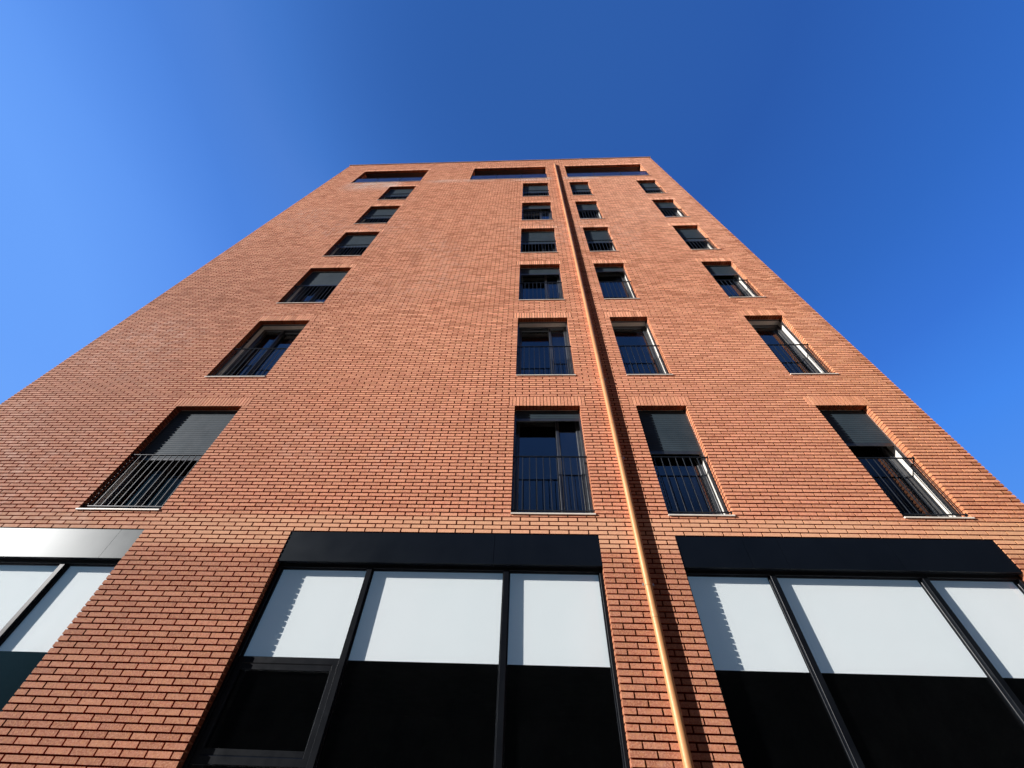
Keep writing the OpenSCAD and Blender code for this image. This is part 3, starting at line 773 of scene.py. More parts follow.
for part, (c0, c1) in enumerate(((0, 172), (172, 319), (319, 432))):
    rows = course_bricks(c0, c1, front_ends, rear_holes, rear_cuts, rear_soldiers)
    rows += soldier_bricks([s for s in rear_soldiers if c0 <= s[2] < c1])
    brick_mesh("bricks_rear_%d" % (part + 1), REAR, rows, 51 + part)

# the loggias' side walls, from the skin to their glazing
for i, (a, b) in enumerate(LOGS):
    for tag, wall, flip in (("l", Wall((a, YF, 0), (0, 1, 0), (-1, 0, 0)), 1), ("r", Wall((b, YF, 0), (0, -1, 0), (1, 0, 0)), -1)):
        lo, hi = 0.122, 1.745
        ends = (lo, hi, "J", "C") if flip > 0 else (-hi, -lo, "C", "J")
        cut = [0.122 + 0.25 * q for q in range(1, 8)]
        rows = course_bricks(369, 407, {0: ends, 1: ends}, [],
                             lambda odd: [flip * (c - (0.125 if odd else 0.0)) for c in cut], [])
        brick_mesh("bricks_loggia_%d%s" % (i + 1, tag), wall, rows, 61 + 2 * i + (flip > 0))


# ------------------------------------------------------------------ the walls behind the brick faces
def core(soup, place, x0, x1, z0, z1, e0="none", e1="none", cut_bottom=False, grow_top=0.0, grow0=0.0, grow1=0.0,
         side=5, inner=3, bottom=None, slab=None):
    """One stretch of wall: a raked-back mortar face in front and the full wall behind it.
    e0 and e1 say what is at each end: an opening, a corner, a loggia or nothing."""
    i0 = {"open": 0.006, "corner": RAKE, "loggia": RAKE, "none": -grow0}[e0]
    i1 = {"open": 0.006, "corner": RAKE, "loggia": RAKE, "none": -grow1}[e1]
    p0, p1 = (6 if e == "open" else 0 for e in (e0, e1))
    b0 = RAKE if e0 in ("corner", "loggia") else 0.0
    b1 = RAKE if e1 in ("corner", "loggia") else 0.0
    zf = z0 + (RAKE if cut_bottom else 0.0)
    front = (x0 + i0, x1 - i1, RAKE, SKIN, zf, z1 + grow_top)
    back = (x0 + b0, x1 - b1, SKIN, slab or WALL, z0, z1)
    s0 = 0 if e0 in ("corner", "loggia") else side
    s1 = 0 if e1 in ("corner", "loggia") else side
    for (p, q, d0, d1, h0, h1), mats in ((front, (p0, p1, 0, 0, 0, 0)), (back, (s0, s1, 0, inner, bottom if bottom is not None else side, 0))):
        pts = [place(x, d, z) for x, d, z in ((p, d0, h0), (q, d0, h0), (q, d1, h0), (p, d1, h0),
                                              (p, d0, h1), (q, d0, h1), (q, d1, h1), (p, d1, h1))]
        f = [(0, 4, 7, 3), (1, 2, 6, 5), (0, 1, 5, 4), (3, 7, 6, 2), (0, 3, 2, 1), (4, 5, 6, 7)]
        soup.add(pts, f, list(mats))


def at_front(x, d, z):
    return (x, YF + d, z)


def at_rear(x, d, z):
    return (-x, YB - d, z)


def at_left(x, d, z):
    return (XL + d, -x, z)


def at_right(x, d, z):
    return (XR - d, x, z)


CORE_MATS = [M_MORTAR, M_RENDER, M_LINING, M_INSIDE_PAINTED_DARK, M_CEIL, M_REVEAL, M_POINTING]

s = Soup()
for x0, x1, e0, e1 in ((XL, BAYS[0][0], "corner", "open"), (BAYS[0][1], BAYS[1][0], "open", "open"),
                       (BAYS[1][1], BAYS[2][0], "open", "open"), (BAYS[2][1], XR, "open", "corner")):
    core(s, at_front, x0, x1, 0, Z_SHOP, e0, e1, side=2)
make("wall_front_shop_piers", s, CORE_MATS, ["front_shop_piers"])

s = Soup()
for a, b in BAYS:
    core(s, at_front, a, b, 0, Z_PLINTH, grow0=RAKE, grow1=RAKE, side=2)
make("wall_shop_plinths", s, CORE_MATS, ["shop_plinths"])

s = Soup()
core(s, at_front, XL, XR, Z_SHOP, sill(1) - SILL_T, "corner", "corner", side=2)
make("wall_front_lower_band", s, CORE_MATS, ["front_lower_band"])

s = Soup()
z0, z1 = sill(1) - SILL_T, sill(6) + WIN_H
for x0, x1, e0, e1 in ((XL, COLS[0][0], "corner", "open"), (COLS[0][1], COLS[1][0], "open", "open"), (COLS[1][1], COLS[2][0], "open", "open"),
                       (COLS[2][1], COLS[3][0], "open", "open"), (COLS[3][1], XR, "open", "corner")):
    core(s, at_front, x0, x1, z0, z1, e0, e1, grow_top=RAKE)
make("wall_front_window_piers", s, CORE_MATS, ["front_window_piers"])

s = Soup()
for a, b in COLS:
    for k in range(1, 6):
        core(s, at_front, a, b, sill(k) + WIN_H, sill(k + 1) - SILL_T, cut_bottom=True, grow0=RAKE, grow1=RAKE)
make("wall_front_spandrels", s, CORE_MATS, ["front_spandrels"])

s = Soup()
core(s, at_front, XL, XR, sill(6) + WIN_H, Z_LOG0 - SILL_T, "corner", "corner", cut_bottom=True)
make("wall_front_upper_band", s, CORE_MATS, ["front_upper_band"])

s = Soup()
for x0, x1, e0, e1 in ((XL, LOGS[0][0], "corner", "loggia"), (LOGS[0][1], LOGS[1][0], "loggia", "loggia"),
                       (LOGS[1][1], LOGS[2][0], "loggia", "loggia"), (LOGS[2][1], XR, "loggia", "corner")):
    core(s, at_front, x0, x1, Z_LOG0 - SILL_T, Z_LOG1, e0, e1, grow_top=RAKE)
make("wall_front_loggia_piers", s, CORE_MATS, ["front_loggia_piers"])

s = Soup()
core(s, at_front, XL, XR, Z_LOG1, Z_PAR, "corner", "corner", cut_bottom=True, grow_top=RAKE, bottom=4)
make("wall_front_loggia_band", s, CORE_MATS, ["front_loggia_band"])

s = Soup()
core(s, at_front, XL, XR, Z_PAR, Z_WALL, "corner", "corner", inner=1)
make("wall_front_parapet", s, CORE_MATS, ["front_parapet"])

Z_IN = Z_PAR


def upright(soup, place, x0, x1, e0, e1):
    core(soup, place, x0, x1, 0, Z_IN, e0, e1)
    core(soup, place, x0, x1, Z_IN, Z_WALL, e0, e1, inner=1)


s = Soup()
for place in (at_left, at_right):
    upright(s, place, -5.58, SIDE_COL[0], "none", "open")
    upright(s, place, SIDE_COL[1], 5.58, "open", "none")
make("wall_side_piers", s, CORE_MATS, ["side_wall_piers"])


def column_fill(soup, place, x0, x1):
    core(soup, place, x0, x1, 0, sill(1) - SILL_T, grow0=RAKE, grow1=RAKE)
    for k in range(1, 7):
        core(soup, place, x0, x1, sill(k) + WIN_H, sill(k + 1) - SILL_T, cut_bottom=True, grow0=RAKE, grow1=RAKE)
    core(soup, place, x0, x1, sill(7) + WIN_H, Z_IN, cut_bottom=True, grow0=RAKE, grow1=RAKE)
    core(soup, place, x0, x1, Z_IN, Z_WALL, grow0=RAKE, grow1=RAKE, inner=1)


s = Soup()
for place in (at_left, at_right):
    column_fill(s, place, *SIDE_COL)
make("wall_side_spandrels", s, CORE_MATS, ["side_wall_spandrels"])

s = Soup()
edges = sorted([-x for c in BACK_COLS for x in c])
edges = [XL] + edges + [XR]
for i in range(0, len(edges) - 1, 2):
    upright(s, at_rear, edges[i], edges[i + 1], "corner" if i == 0 else "open", "corner" if i == len(edges) - 2 else "open")
make("wall_rear_piers", s, CORE_MATS, ["back_wall_piers"])
s = Soup()
for a, b in BACK_COLS:
    column_fill(s, at_rear, -b, -a)
make("wall_rear_spandrels", s, CORE_MATS, ["back_wall_spandrels"])

# the loggias' side walls
s = Soup()
for a, b in LOGS:
    s.box(a - 0.2, a - RAKE, YF + WALL, YF + 1.81, Z_LOG0 - SILL_T, 25.5875, [3, 0, 0, 3, 3, 3])
    s.box(b + RAKE, b + 0.2, YF + WALL, YF + 1.81, Z_LOG0 - SILL_T, 25.5875, [0, 3, 0, 3, 3, 3])
make("wall_loggia_cheeks", s, CORE_MATS, ["loggia_cheeks"])


# ------------------------------------------------------------------ sills
def sill_piece(soup, place, a, b, deep):
    # a front lip with a drip groove behind it and a fall towards the street
    prof = [(-0.020, -0.024), (-0.019, -0.025), (-0.014, -0.025), (-0.0125, -0.020), (-0.007, -0.020), (-0.0055, -0.025), (deep, -0.025),
            (deep, 0.0), (0.10, -0.001), (-0.018, -0.0025), (-0.020, -0.0045)]
    soup.prism(prof, a, b, lambda x, d, z: place(x, d, z), 0)


s = Soup()
for a, b in COLS:
    for k in range(1, 7):
        zz = sill(k)
        sill_piece(s, lambda x, d, z, zz=zz: (x, YF + d, zz + z), a, b, 0.265)
for a, b in LOGS:
    sill_piece(s, lambda x, d, z: (x, YF + d, Z_LOG0 + z), a, b, WALL)
make("window_sills_front", s, [M_SILL], ["window_sills"])
s = Soup()
for k in range(1, 8):
    zz = sill(k)
    for place in (at_left, at_right):
        sill_piece(s, lambda x, d, z, zz=zz, pl=place: pl(x, d, zz + z), *SIDE_COL, 0.285)
    for a, b in BACK_COLS:
        sill_piece(s, lambda x, d, z, zz=zz: at_rear(x, d, zz + z), -b, -a, 0.285)
make("window_sills_sides_rear", s, [M_SILL], ["side_and_rear_sills"])


# ------------------------------------------------------------------ window frames
def leaf_profile(w, y0, y1, bead=0.009):
    return [(0.0, y0 + 0.004), (0.004, y0), (w - bead, y0), (w, y0 + bead), (w, y1), (0.0, y1)]


def slider(soup, place, a, b, z0, z1, meet, y0=0.265, step=0.065, fd=0.055):
    """A two-leaf sliding window: the narrow leaf runs in front of the wide one."""
    m = a + (b - a) * meet
    soup.ring(a, b, z0, z1, [(0, y0), (0.026, y0), (0.030, y0 + 0.004), (0.030, y0 + 0.12), (0, y0 + 0.12)], place, 0)
    left, right = (a + 0.030, m + 0.030), (m - 0.030, b - 0.030)
    outer, inner = (right, left) if meet > 0.5 else (left, right)
    for (p, q), y in ((outer, y0), (inner, y0 + step)):
        soup.ring(p, q, z0 + 0.030, z1 - 0.030, leaf_profile(0.055, y + (0.004 if y == y0 else 0.0), y + fd), place, 0)
        # the rubber seal round the pane
        soup.ring(p + 0.055, q - 0.055, z0 + 0.085, z1 - 0.085,
                  [(0, y + 0.012), (0.006, y + 0.016), (0.006, y + 0.024), (0, y + 0.024)], place, 1)


def single(soup, place, a, b, z0, z1, y0=0.265):
    """A window of one leaf that opens inwards."""
    soup.ring(a, b, z0, z1, [(0, y0), (0.026, y0), (0.030, y0 + 0.004), (0.030, y0 + 0.065), (0, y0 + 0.065)], place, 0)
    soup.ring(a + 0.031, b - 0.031, z0 + 0.031, z1 - 0.031, leaf_profile(0.059, y0 + 0.006, y0 + 0.063), place, 0)
    soup.ring(a + 0.090, b - 0.090, z0 + 0.090, z1 - 0.090,
              [(0, y0 + 0.012), (0.006, y0 + 0.016), (0.006, y0 + 0.024), (0, y0 + 0.024)], place, 1)


s = Soup()
for (a, b), meet in zip(COLS, MEET):
    for k in range(1, 7):
        z0, z1 = sill(k), sill(k) + WIN_H
        if meet:
            slider(s, at_front, a, b, z0, z1, meet)
        else:
            single(s, at_front, a, b, z0, z1)
        # the shutter's guides: a dark channel on each side
        for x, f in ((a, 1), (b, -1)):
            prof = [(0, 0.122), (0.030, 0.122), (0.030, 0.1255), (0.004, 0.1255), (0.004, 0.1405), (0.030, 0.1405), (0.030, 0.152), (0, 0.152)]
            pts = [(x + f * u, w) for u, w in prof]
            if f < 0:
                pts = pts[::-1]
            s.prism(pts, z0, z1, lambda h, u, w: (u, YF + w, h), 2)
make("window_frames_front", s, [M_FRAME, M_SEAL, M_GUIDE], ["window_frames"])

# panes of the front windows: float glass in both leaves, the mirror film on the street side
PANE = [1, 1, 0, 1, 1, 1]
s = Soup()
for (a, b), meet in zip(COLS, MEET):
    m = a + (b - a) * meet
    yl, yr = (0.350, 0.285) if meet > 0.5 else (0.285, 0.350)
    for k in range(1, 7):
        z0, z1 = sill(k) + 0.083, sill(k) + WIN_H - 0.083
        if meet:
            s.box(m + 0.023, b - 0.083, YF + yr, YF + yr + 0.024, z0, z1, PANE)
            s.box(a + 0.083, m - 0.023, YF + yl, YF + yl + 0.024, z0, z1, PANE)
        else:
            s.box(a + 0.088, b - 0.088, YF + 0.285, YF + 0.309, z0 + 0.005, z1 - 0.005, PANE)
make("window_panes_front", s, [M_GLASS, M_GLASS_IN], ["window_glass"])

s = Soup()
g_ = Soup()
for place, cols in ((at_left, [SIDE_COL]), (at_right, [SIDE_COL]), (at_rear, [(-b, -a) for a, b in BACK_COLS])):
    for a, b in cols:
        m = (a + b) / 2
        for k in range(1, 8):
            z0, z1 = sill(k), sill(k) + WIN_H
            s.ring(a, b, z0, z1, [(0, 0.235), (0.044, 0.235), (0.050, 0.241), (0.050, 0.309), (0, 0.309)], place, 0)
            for p, q in ((a + 0.050, m + 0.001), (m - 0.001, b - 0.050)):
                s.ring(p, q, z0 + 0.050, z1 - 0.050, leaf_profile(0.055, 0.240, 0.305), place, 0)
                pa, qa = p + 0.052, q - 0.052
                pts = [place(x, d, z) for x, d, z in ((pa, .285, z0 + .102), (qa, .285, z0 + .102), (qa, .309, z0 + .102), (pa, .309, z0 + .102),
                                                      (pa, .285, z1 - .102), (qa, .285, z1 - .102), (qa, .309, z1 - .102), (pa, .309, z1 - .102))]
                g_.add(pts, [(0, 4, 7, 3), (1, 2, 6, 5), (0, 1, 5, 4), (3, 7, 6, 2), (0, 3, 2, 1), (4, 5, 6, 7)], list(PANE))
            # shutter guides and a rolled-up shutter's bottom bar, as on the front
            for x, f in ((a, 1), (b, -1)):
                prof = [(0, 0.122), (0.030, 0.122), (0.030, 0.152), (0, 0.152)]
                pts = [(x + f * u, w) for u, w in prof]
                if f < 0:
                    pts = pts[::-1]
                s.prism(pts, z0, z1, lambda h, u, w, pl=place: pl(u, w, h), 2)
            s.prism([(0.126, z1 - 0.10), (0.140, z1 - 0.10), (0.140, z1 - 0.001), (0.126, z1 - 0.001), (0.126, z1 - 0.045), (0.129, z1 - 0.048), (0.126, z1 - 0.051)],
                    a + 0.031, b - 0.031, lambda h, u, w, pl=place: pl(h, u, w), 2)
make("window_frames_sides_rear", s, [M_FRAME, M_SEAL, M_GUIDE])
make("window_panes_sides_rear", g_, [M_GLASS, M_GLASS_IN], ["side_and_rear_glass"])


# ------------------------------------------------------------------ roller shutters
def shutter(soup, a, b, head, drop, slat=0.046):
    bar = min(0.055, drop * 0.45)
    z_low = head - drop
    zs = z_low + bar + 0.003
    front, n = [], 0
    z = zs
    while z + slat <= head - 0.001:
        front += [(0.1310, z), (0.1283, z + 0.004), (0.1268, z + 0.013), (0.1264, z + 0.022), (0.1268, z + 0.031), (0.1283, z + 0.040), (0.1310, z + 0.044)]
        z += slat
        n += 1
    if n:
        front.append((0.1310, head))
        prof = [(0.1395, zs)] + front + [(0.1395, head)]
        soup.prism(prof, a, b, lambda x, u, w: (x, YF + u, w), 0, smooth=False)
    top = zs - 0.003 if n else head
    prof = [(0.126, z_low + 0.004), (0.130, z_low), (0.140, z_low), (0.140, top), (0.1285, top), (0.126, top - 0.003),
            (0.126, z_low + bar * 0.62), (0.1285, z_low + bar * 0.58), (0.126, z_low + bar * 0.54)]
    soup.prism(prof, a, b, lambda x, u, w: (x, YF + u, w), 1)


s = Soup()
for k in range(6):
    for i, (a, b) in enumerate(COLS):
        shutter(s, a + 0.030, b - 0.030, sill(k + 1) + WIN_H, DROP[k][i])
make("roller_shutters_front", s, [M_SHUTTER, M_SHUTTER_BAR], ["roller_shutters"])


# ------------------------------------------------------------------ railings
def railing(soup, a, b, z0):
    y0 = 0.028
    n = round((b - a) / 0.105)
    st = (b - a) / n
    top, bot = z0 + 1.045, z0 + 0.066
    rail = [(y0, top - 0.010), (y0 + 0.002, top - 0.012), (y0 + 0.028, top - 0.012), (y0 + 0.030, top - 0.010),
            (y0 + 0.030, top - 0.002), (y0 + 0.028, top), (y0 + 0.002, top), (y0, top - 0.002)]
    soup.prism(rail, a, b, lambda x, u, w: (x, YF + u, w), 0)
    rail = [(y0 + 0.004, bot - 0.005), (y0 + 0.026, bot - 0.005), (y0 + 0.026, bot + 0.006), (y0 + 0.004, bot + 0.006)]
    soup.prism(rail, a, b, lambda x, u, w: (x, YF + u, w), 0)
    for i in range(n):
        x, c = a + st * (i + 0.5), 0.0015
        h, d0, d1 = 0.006, y0 + 0.009, y0 + 0.021
        prof = [(x - h + c, d0), (x + h - c, d0), (x + h, d0 + c), (x + h, d1 - c),
                (x + h - c, d1), (x - h + c, d1), (x - h, d1 - c), (x - h, d0 + c)]
        soup.prism(prof, bot, top - 0.006, lambda h, u, w: (u, YF + w, h), 0)
    for x, f in ((a, 1), (b, -1)):
        for z in (top - 0.006, bot):
            soup.box(min(x, x + f * 0.005), max(x, x + f * 0.005), YF + y0 - 0.004, YF + y0 + 0.034, z - 0.022, z + 0.022)


for k in range(1, 7):
    s = Soup()
    for a, b in COLS:
        railing(s, a, b, sill(k))
    make("railings_%d" % k, s, [M_RAIL], ["railings_storey_%d" % k])

# loggia balustrades: posts, handrail and foot channel, with glass between
s = Soup()
for a, b in LOGS:
    n = round((b - a) / 1.2)
    st = (b - a - 0.03) / n
    zt = Z_LOG0 + 1.0
    y0 = 0.028
    s.prism([(y0, zt - 0.021), (y0 + 0.004, zt - 0.025), (y0 + 0.036, zt - 0.025), (y0 + 0.040, zt - 0.021), (y0 + 0.040, zt - 0.004),
             (y0 + 0.036, zt), (y0 + 0.004, zt), (y0, zt - 0.004)], a, b, lambda x, u, w: (x, YF + u, w), 0)
    s.prism([(y0, Z_LOG0 + 0.020), (y0 + 0.040, Z_LOG0 + 0.020), (y0 + 0.040, Z_LOG0 + 0.060), (y0 + 0.028, Z_LOG0 + 0.060), (y0 + 0.028, Z_LOG0 + 0.050),
             (y0 + 0.012, Z_LOG0 + 0.050), (y0 + 0.012, Z_LOG0 + 0.060), (y0, Z_LOG0 + 0.060)], a, b, lambda x, u, w: (x, YF + u, w), 0)
    for i in range(n + 1):
        x = a + st * i
        s.prism([(x + 0.003, y0 + 0.005), (x + 0.027, y0 + 0.005), (x + 0.030, y0 + 0.008), (x + 0.030, y0 + 0.032), (x + 0.027, y0 + 0.035),
                 (x + 0.003, y0 + 0.035), (x, y0 + 0.032), (x, y0 + 0.008)], Z_LOG0, zt - 0.020, lambda h, u, w: (u, YF + w, h), 0)
make("loggia_balustrade_frames", s, [M_RAIL], ["loggia_railings"])
s = Soup()
for a, b in LOGS:
    n = round((b - a) / 1.2)
    st = (b - a - 0.03) / n
    for i in range(n):
        s.box(a + st * i + 0.0305, a + st * (i + 1) - 0.0005, YF + 0.042, YF + 0.054, Z_LOG0 + 0.051, Z_LOG0 + 0.975, PANE)
make("loggia_balustrade_panes", s, [M_BAL_GLASS, M_BAL_GLASS_IN], ["loggia_balustrade_glass"])

# the loggias' glazed backs: sliding doors with a head and a threshold
s, g_ = Soup(), Soup()
for a, b in LOGS:
    n = 4
    w = (b - a) / n
    z0, z1 = Z_LOG0 - SILL_T, Z_LOG1 + 0.02
    s.ring(a, b, z0, z1, [(0, 1.750), (0.050, 1.750), (0.055, 1.755), (0.055, 1.810), (0, 1.810)], at_front, 0)
    for i in range(n):
        p, q = a + w * i + (0.055 if i == 0 else -0.002), a + w * (i + 1) - (0.055 if i == n - 1 else -0.002)
        y0 = 1.752 if i % 2 else 1.760
        s.ring(p, q, z0 + 0.055, z1 - 0.055, leaf_profile(0.065, y0, 1.806), at_front, 0)
        g_.box(p + 0.062, q - 0.062, YF + 1.780, YF + 1.796, z0 + 0.117, z1 - 0.117, PANE)
make("loggia_doors", s, [M_FRAME])
make("loggia_door_panes", g_, [M_GLASS, M_GLASS_IN], ["loggia_glazing"])

# boarded ceilings
s = Soup()
for a, b in LOGS:
    n = int(round((b - a) / 0.115))
    p = (b - a) / n
    s.box(a, b, YF + WALL, YF + 1.75, Z_LOG1 + 0.034, Z_LOG1 + 0.060, 0)
    for i in range(n):
        x0, x1 = a + i * p + 0.003, a + (i + 1) * p - 0.003
        s.prism([(x0, Z_LOG1 + 0.034), (x0, Z_LOG1 + 0.023), (x0 + 0.003, Z_LOG1 + 0.020), (x1 - 0.003, Z_LOG1 + 0.020), (x1, Z_LOG1 + 0.023), (x1, Z_LOG1 + 0.034)],
                YF + WALL, YF + 1.75, lambda h, u, w: (u, h, w), 0)
make("loggia_ceiling_boards", s, [M_CEIL], ["loggia_ceilings"])

# ------------------------------------------------------------------ shop fronts
s = Soup()
JOINTS = [(-5.30, -3.97), (1.28,), (4.51, 4.95, 6.32)]
for (a, b), js in zip(BAYS, JOINTS):
    xs = [a] + sorted(js) + [b]
    for i in range(len(xs) - 1):
        x0 = xs[i] + (0.002 if i else 0.001)
        x1 = xs[i + 1] - (0.002 if i < len(xs) - 2 else 0.001)
        z0, z1 = Z_SHOP - 0.412, Z_SHOP - 0.001
        # a folded panel with rounded edges and an open back
        prof = [(0.085, z0), (0.015, z0), (0.0130, z0 + 0.0008), (0.012, z0 + 0.003), (0.012, z1 - 0.003), (0.0130, z1 - 0.0008), (0.015, z1), (0.085, z1)]
        s.prism(prof, x0, x1, lambda x, u, w: (x, YF + u, w), 0)
make("shop_fascia_panels", s, [M_FASCIA], ["shop_fascias"])

s = Soup()
Y0, Y1, Z_RAIL = 0.085, 0.165, Z_SHOP - 0.455


def post(soup, x0, x1, z0, z1):
    c = 0.003
    prof = [(x0, Y0 + c), (x0 + c, Y0), (x1 - c, Y0), (x1, Y0 + c), (x1, Y1), (x0, Y1)]
    soup.prism(prof, z0, z1, lambda h, u, w: (u, YF + w, h), 0)


for i, (a, b) in enumerate(BAYS):
    post(s, a, a + END_W, Z_PLINTH, Z_SHOP - 0.412)
    post(s, b - END_W, b, Z_PLINTH, Z_SHOP - 0.412)
    for m in MULL[i]:
        post(s, m - POST_W / 2, m + POST_W / 2, Z_PLINTH, Z_SHOP - 0.412)
    # what stands behind the fascia
    s.box(a, b, YF + 0.085, YF + Y1, Z_SHOP - 0.412, Z_SHOP - 0.001)
make("shop_posts_front", s, [M_POST], ["shop_posts"])


def panes(i):
    a, b = BAYS[i]
    m = MULL[i]
    return [(a + END_W, m[0] - POST_W / 2), (m[0] + POST_W / 2, m[1] - POST_W / 2), (m[1] + POST_W / 2, b - END_W)]


s = Soup()
g_ = Soup()
LIGHT = panes(1)[0]
for i in range(3):
    for j, (p, q) in enumerate(panes(i)):
        c = 0.003
        for z0, z1 in ((Z_RAIL, Z_SHOP - 0.412), (Z_PLINTH, Z_PLINTH + 0.08)):
            prof = [(Y0 + c, z0), (Y1, z0), (Y1, z1), (Y0 + c, z1), (Y0, z1 - c), (Y0, z0 + c)]
            s.prism(prof, p, q, lambda x, u, w: (x, YF + u, w), 0)
        # glazing beads round the pane
        s.ring(p, q, Z_PLINTH + 0.08, Z_RAIL, [(0, 0.122), (0.010, 0.122), (0.014, 0.128), (0.014, 0.141), (0, 0.141)], at_front, 0)
        if (i, j) != (1, 0):
            g_.box(p + 0.001, q - 0.001, YF + 0.142, YF + 0.154, Z_PLINTH + 0.081, Z_RAIL - 0.001, PANE)
        else:
            g_.box(p + 0.001, q - 0.001, YF + 0.142, YF + 0.154, Z_PLINTH + 0.081, 2.049, PANE)
            g_.box(p + 0.071, q - 0.071, YF + 0.142, YF + 0.154, 2.050 + 0.116, 2.930 - 0.121, PANE)
            g_.box(p + 0.001, q - 0.001, YF + 0.142, YF + 0.154, 2.931, Z_RAIL - 0.001, PANE)
make("shop_rails_front", s, [M_POST], ["shop_rails"])
make("shop_panes", g_, [M_SHOP_GLASS, M_SHOP_GLASS_IN], ["shop_glass"])

# the opening light: a sash with a stepped edge
s = Soup()
p, q = LIGHT
s.ring(p, q, 2.050, 2.930, [(0, 0.105), (0.004, 0.100), (0.060, 0.100), (0.070, 0.108), (0.070, 0.158), (0, 0.158)], at_front, 0)
s.box(p + 0.070, q - 0.070, YF + 0.105, YF + 0.158, 2.120, 2.165)
s.box(p + 0.070, q - 0.070, YF + 0.105, YF + 0.158, 2.810, 2.860)
make("shop_opening_sash", s, [M_POST], ["shop_opening_light"])

# roller blinds of plain cloth behind the shop glass
blinds = []
for i in range(3):
    for j, (p, q) in enumerate(panes(i)):
        nx, nz = 14, 12
        z0, z1 = 2.932, Z_RAIL
        x0, x1 = p + 0.004, q - 0.004
        rnd = random.Random(100 + 3 * i + j)
        ph = rnd.uniform(0, 6.28)
        pts, faces = [], []
        for side in (0, 1):
            for iz in range(nz + 1):
                for ix in range(nx + 1):
                    u, w = ix / nx, iz / nz
                    sag = 0.0007 * math.sin(2.2 * math.pi * u + ph) * (1 - w) + 0.0004 * math.sin(5.1 * math.pi * u + 2 * ph) * (1 - w)
                    pts.append((x0 + (x1 - x0) * u, YF + 0.1695 + sag + 0.0006 * side, z0 + (z1 - z0) * w))
        row = nx + 1
        off = row * (nz + 1)
        for iz in range(nz):
            for ix in range(nx):
                k0 = iz * row + ix
                faces.append((k0, k0 + 1, k0 + 1 + row, k0 + row))
                faces.append((off + k0, off + k0 + row, off + k0 + 1 + row, off + k0 + 1))
        rim = [ix for ix in range(row)] + [iz * row + nx for iz in range(1, nz + 1)] + \
              [nz * row + ix for ix in range(nx - 1, -1, -1)] + [iz * row for iz in range(nz - 1, 0, -1)]
        for t in range(len(rim)):
            u0, u1 = rim[t], rim[(t + 1) % len(rim)]
            faces.append((u1, u0, off + u0, off + u1))
        s = Soup()
        s.add(pts, faces, 0, True)
        o = make("shop_blind_%d%s" % (i + 1, "abc"[j]), s, [M_BLIND], ["shop_blinds"], angle=60)
        blinds.append(o)

# ------------------------------------------------------------------ rainwater pipe
PX, PY, PR = 3.152, YF - 0.055, 0.045
s = Soup()
ze = Z_PAR - 0.053
rings = [(0.0, PR)]
z = 0.41
while z < ze - 0.3:
    rings += [(z - 0.060, PR), (z - 0.058, PR + 0.0026), (z - 0.004, PR + 0.0026), (z, PR + 0.0018), (z + 0.002, PR)]
    z += 3.0
N_SIDES = 40
pts, faces = [], []


def circle(c, e1, e2, rad):
    return [tuple(c[i] + rad * (math.cos(t) * e1[i] + math.sin(t) * e2[i]) for i in range(3))
            for t in (2 * math.pi * q / N_SIDES for q in range(N_SIDES))]


BEND = 0.051
loops = [circle((PX, PY, zz), (1, 0, 0), (0, 1, 0), rr) for zz, rr in rings]
for q in range(9):
    t = math.radians(90 * q / 8)
    c = (PX, PY + BEND * (1 - math.cos(t)), ze - BEND + 0.008 + BEND * math.sin(t) - 0.004)
    loops.append(circle(c, (1, 0, 0), (0, math.cos(t), -math.sin(t)), PR - 0.0004 * q))
loops.append(circle((PX, YF + 0.0005, ze + 0.004), (1, 0, 0), (0, 0, -1), PR - 0.0032))
for lp in loops:
    pts += lp
for q in range(len(loops) - 1):
    for i in range(N_SIDES):
        j = (i + 1) % N_SIDES
        faces.append((q * N_SIDES + i, q * N_SIDES + j, (q + 1) * N_SIDES + j, (q + 1) * N_SIDES + i))
s.add(pts, faces, 0, True)
s.add(loops[0], [tuple(reversed(range(N_SIDES)))], 0)
s.add(loops[-1], [tuple(range(N_SIDES))], 0)
make("rainwater_pipe", s, [M_COPPER], ["downpipe"], angle=30)
s = Soup()
for i in range(13):
    z = 1.780 + i * 1.920
    s.tube(PX, PY, 0, 0, PR, 40, 0, [(z, PR + 0.001), (z + 0.001, PR + 0.0038), (z + 0.029, PR + 0.0038), (z + 0.030, PR + 0.001)])
    # the stud to the brick face and the plate at its foot
    s.box(PX - 0.006, PX + 0.006, PY + PR + 0.001, YF - 0.0005, z + 0.009, z + 0.021, 1)
    s.box(PX - 0.020, PX + 0.020, YF - 0.004, YF - 0.0002, z + 0.000, z + 0.030, 1)
    # the clamp's two ears with their bolts
    for f in (-1, 1):
        x0, x1 = sorted((PX + f * (PR + 0.001), PX + f * (PR + 0.024)))
        for d in (-0.0030, 0.0006):
            s.box(x0, x1, PY + d, PY + d + 0.0024, z + 0.001, z + 0.029, 1)
        xb = PX + f * (PR + 0.015)
        hexa = [(xb + 0.0055 * math.cos(math.radians(60 * q)), z + 0.015 + 0.0055 * math.sin(math.radians(60 * q))) for q in range(6)]
        s.prism(hexa, PY - 0.0070, PY - 0.0031, lambda h, u, w: (u, h, w), 1)
make("pipe_clamps", s, [M_COPPER, M_CLAMP], ["pipe_brackets"], angle=30)


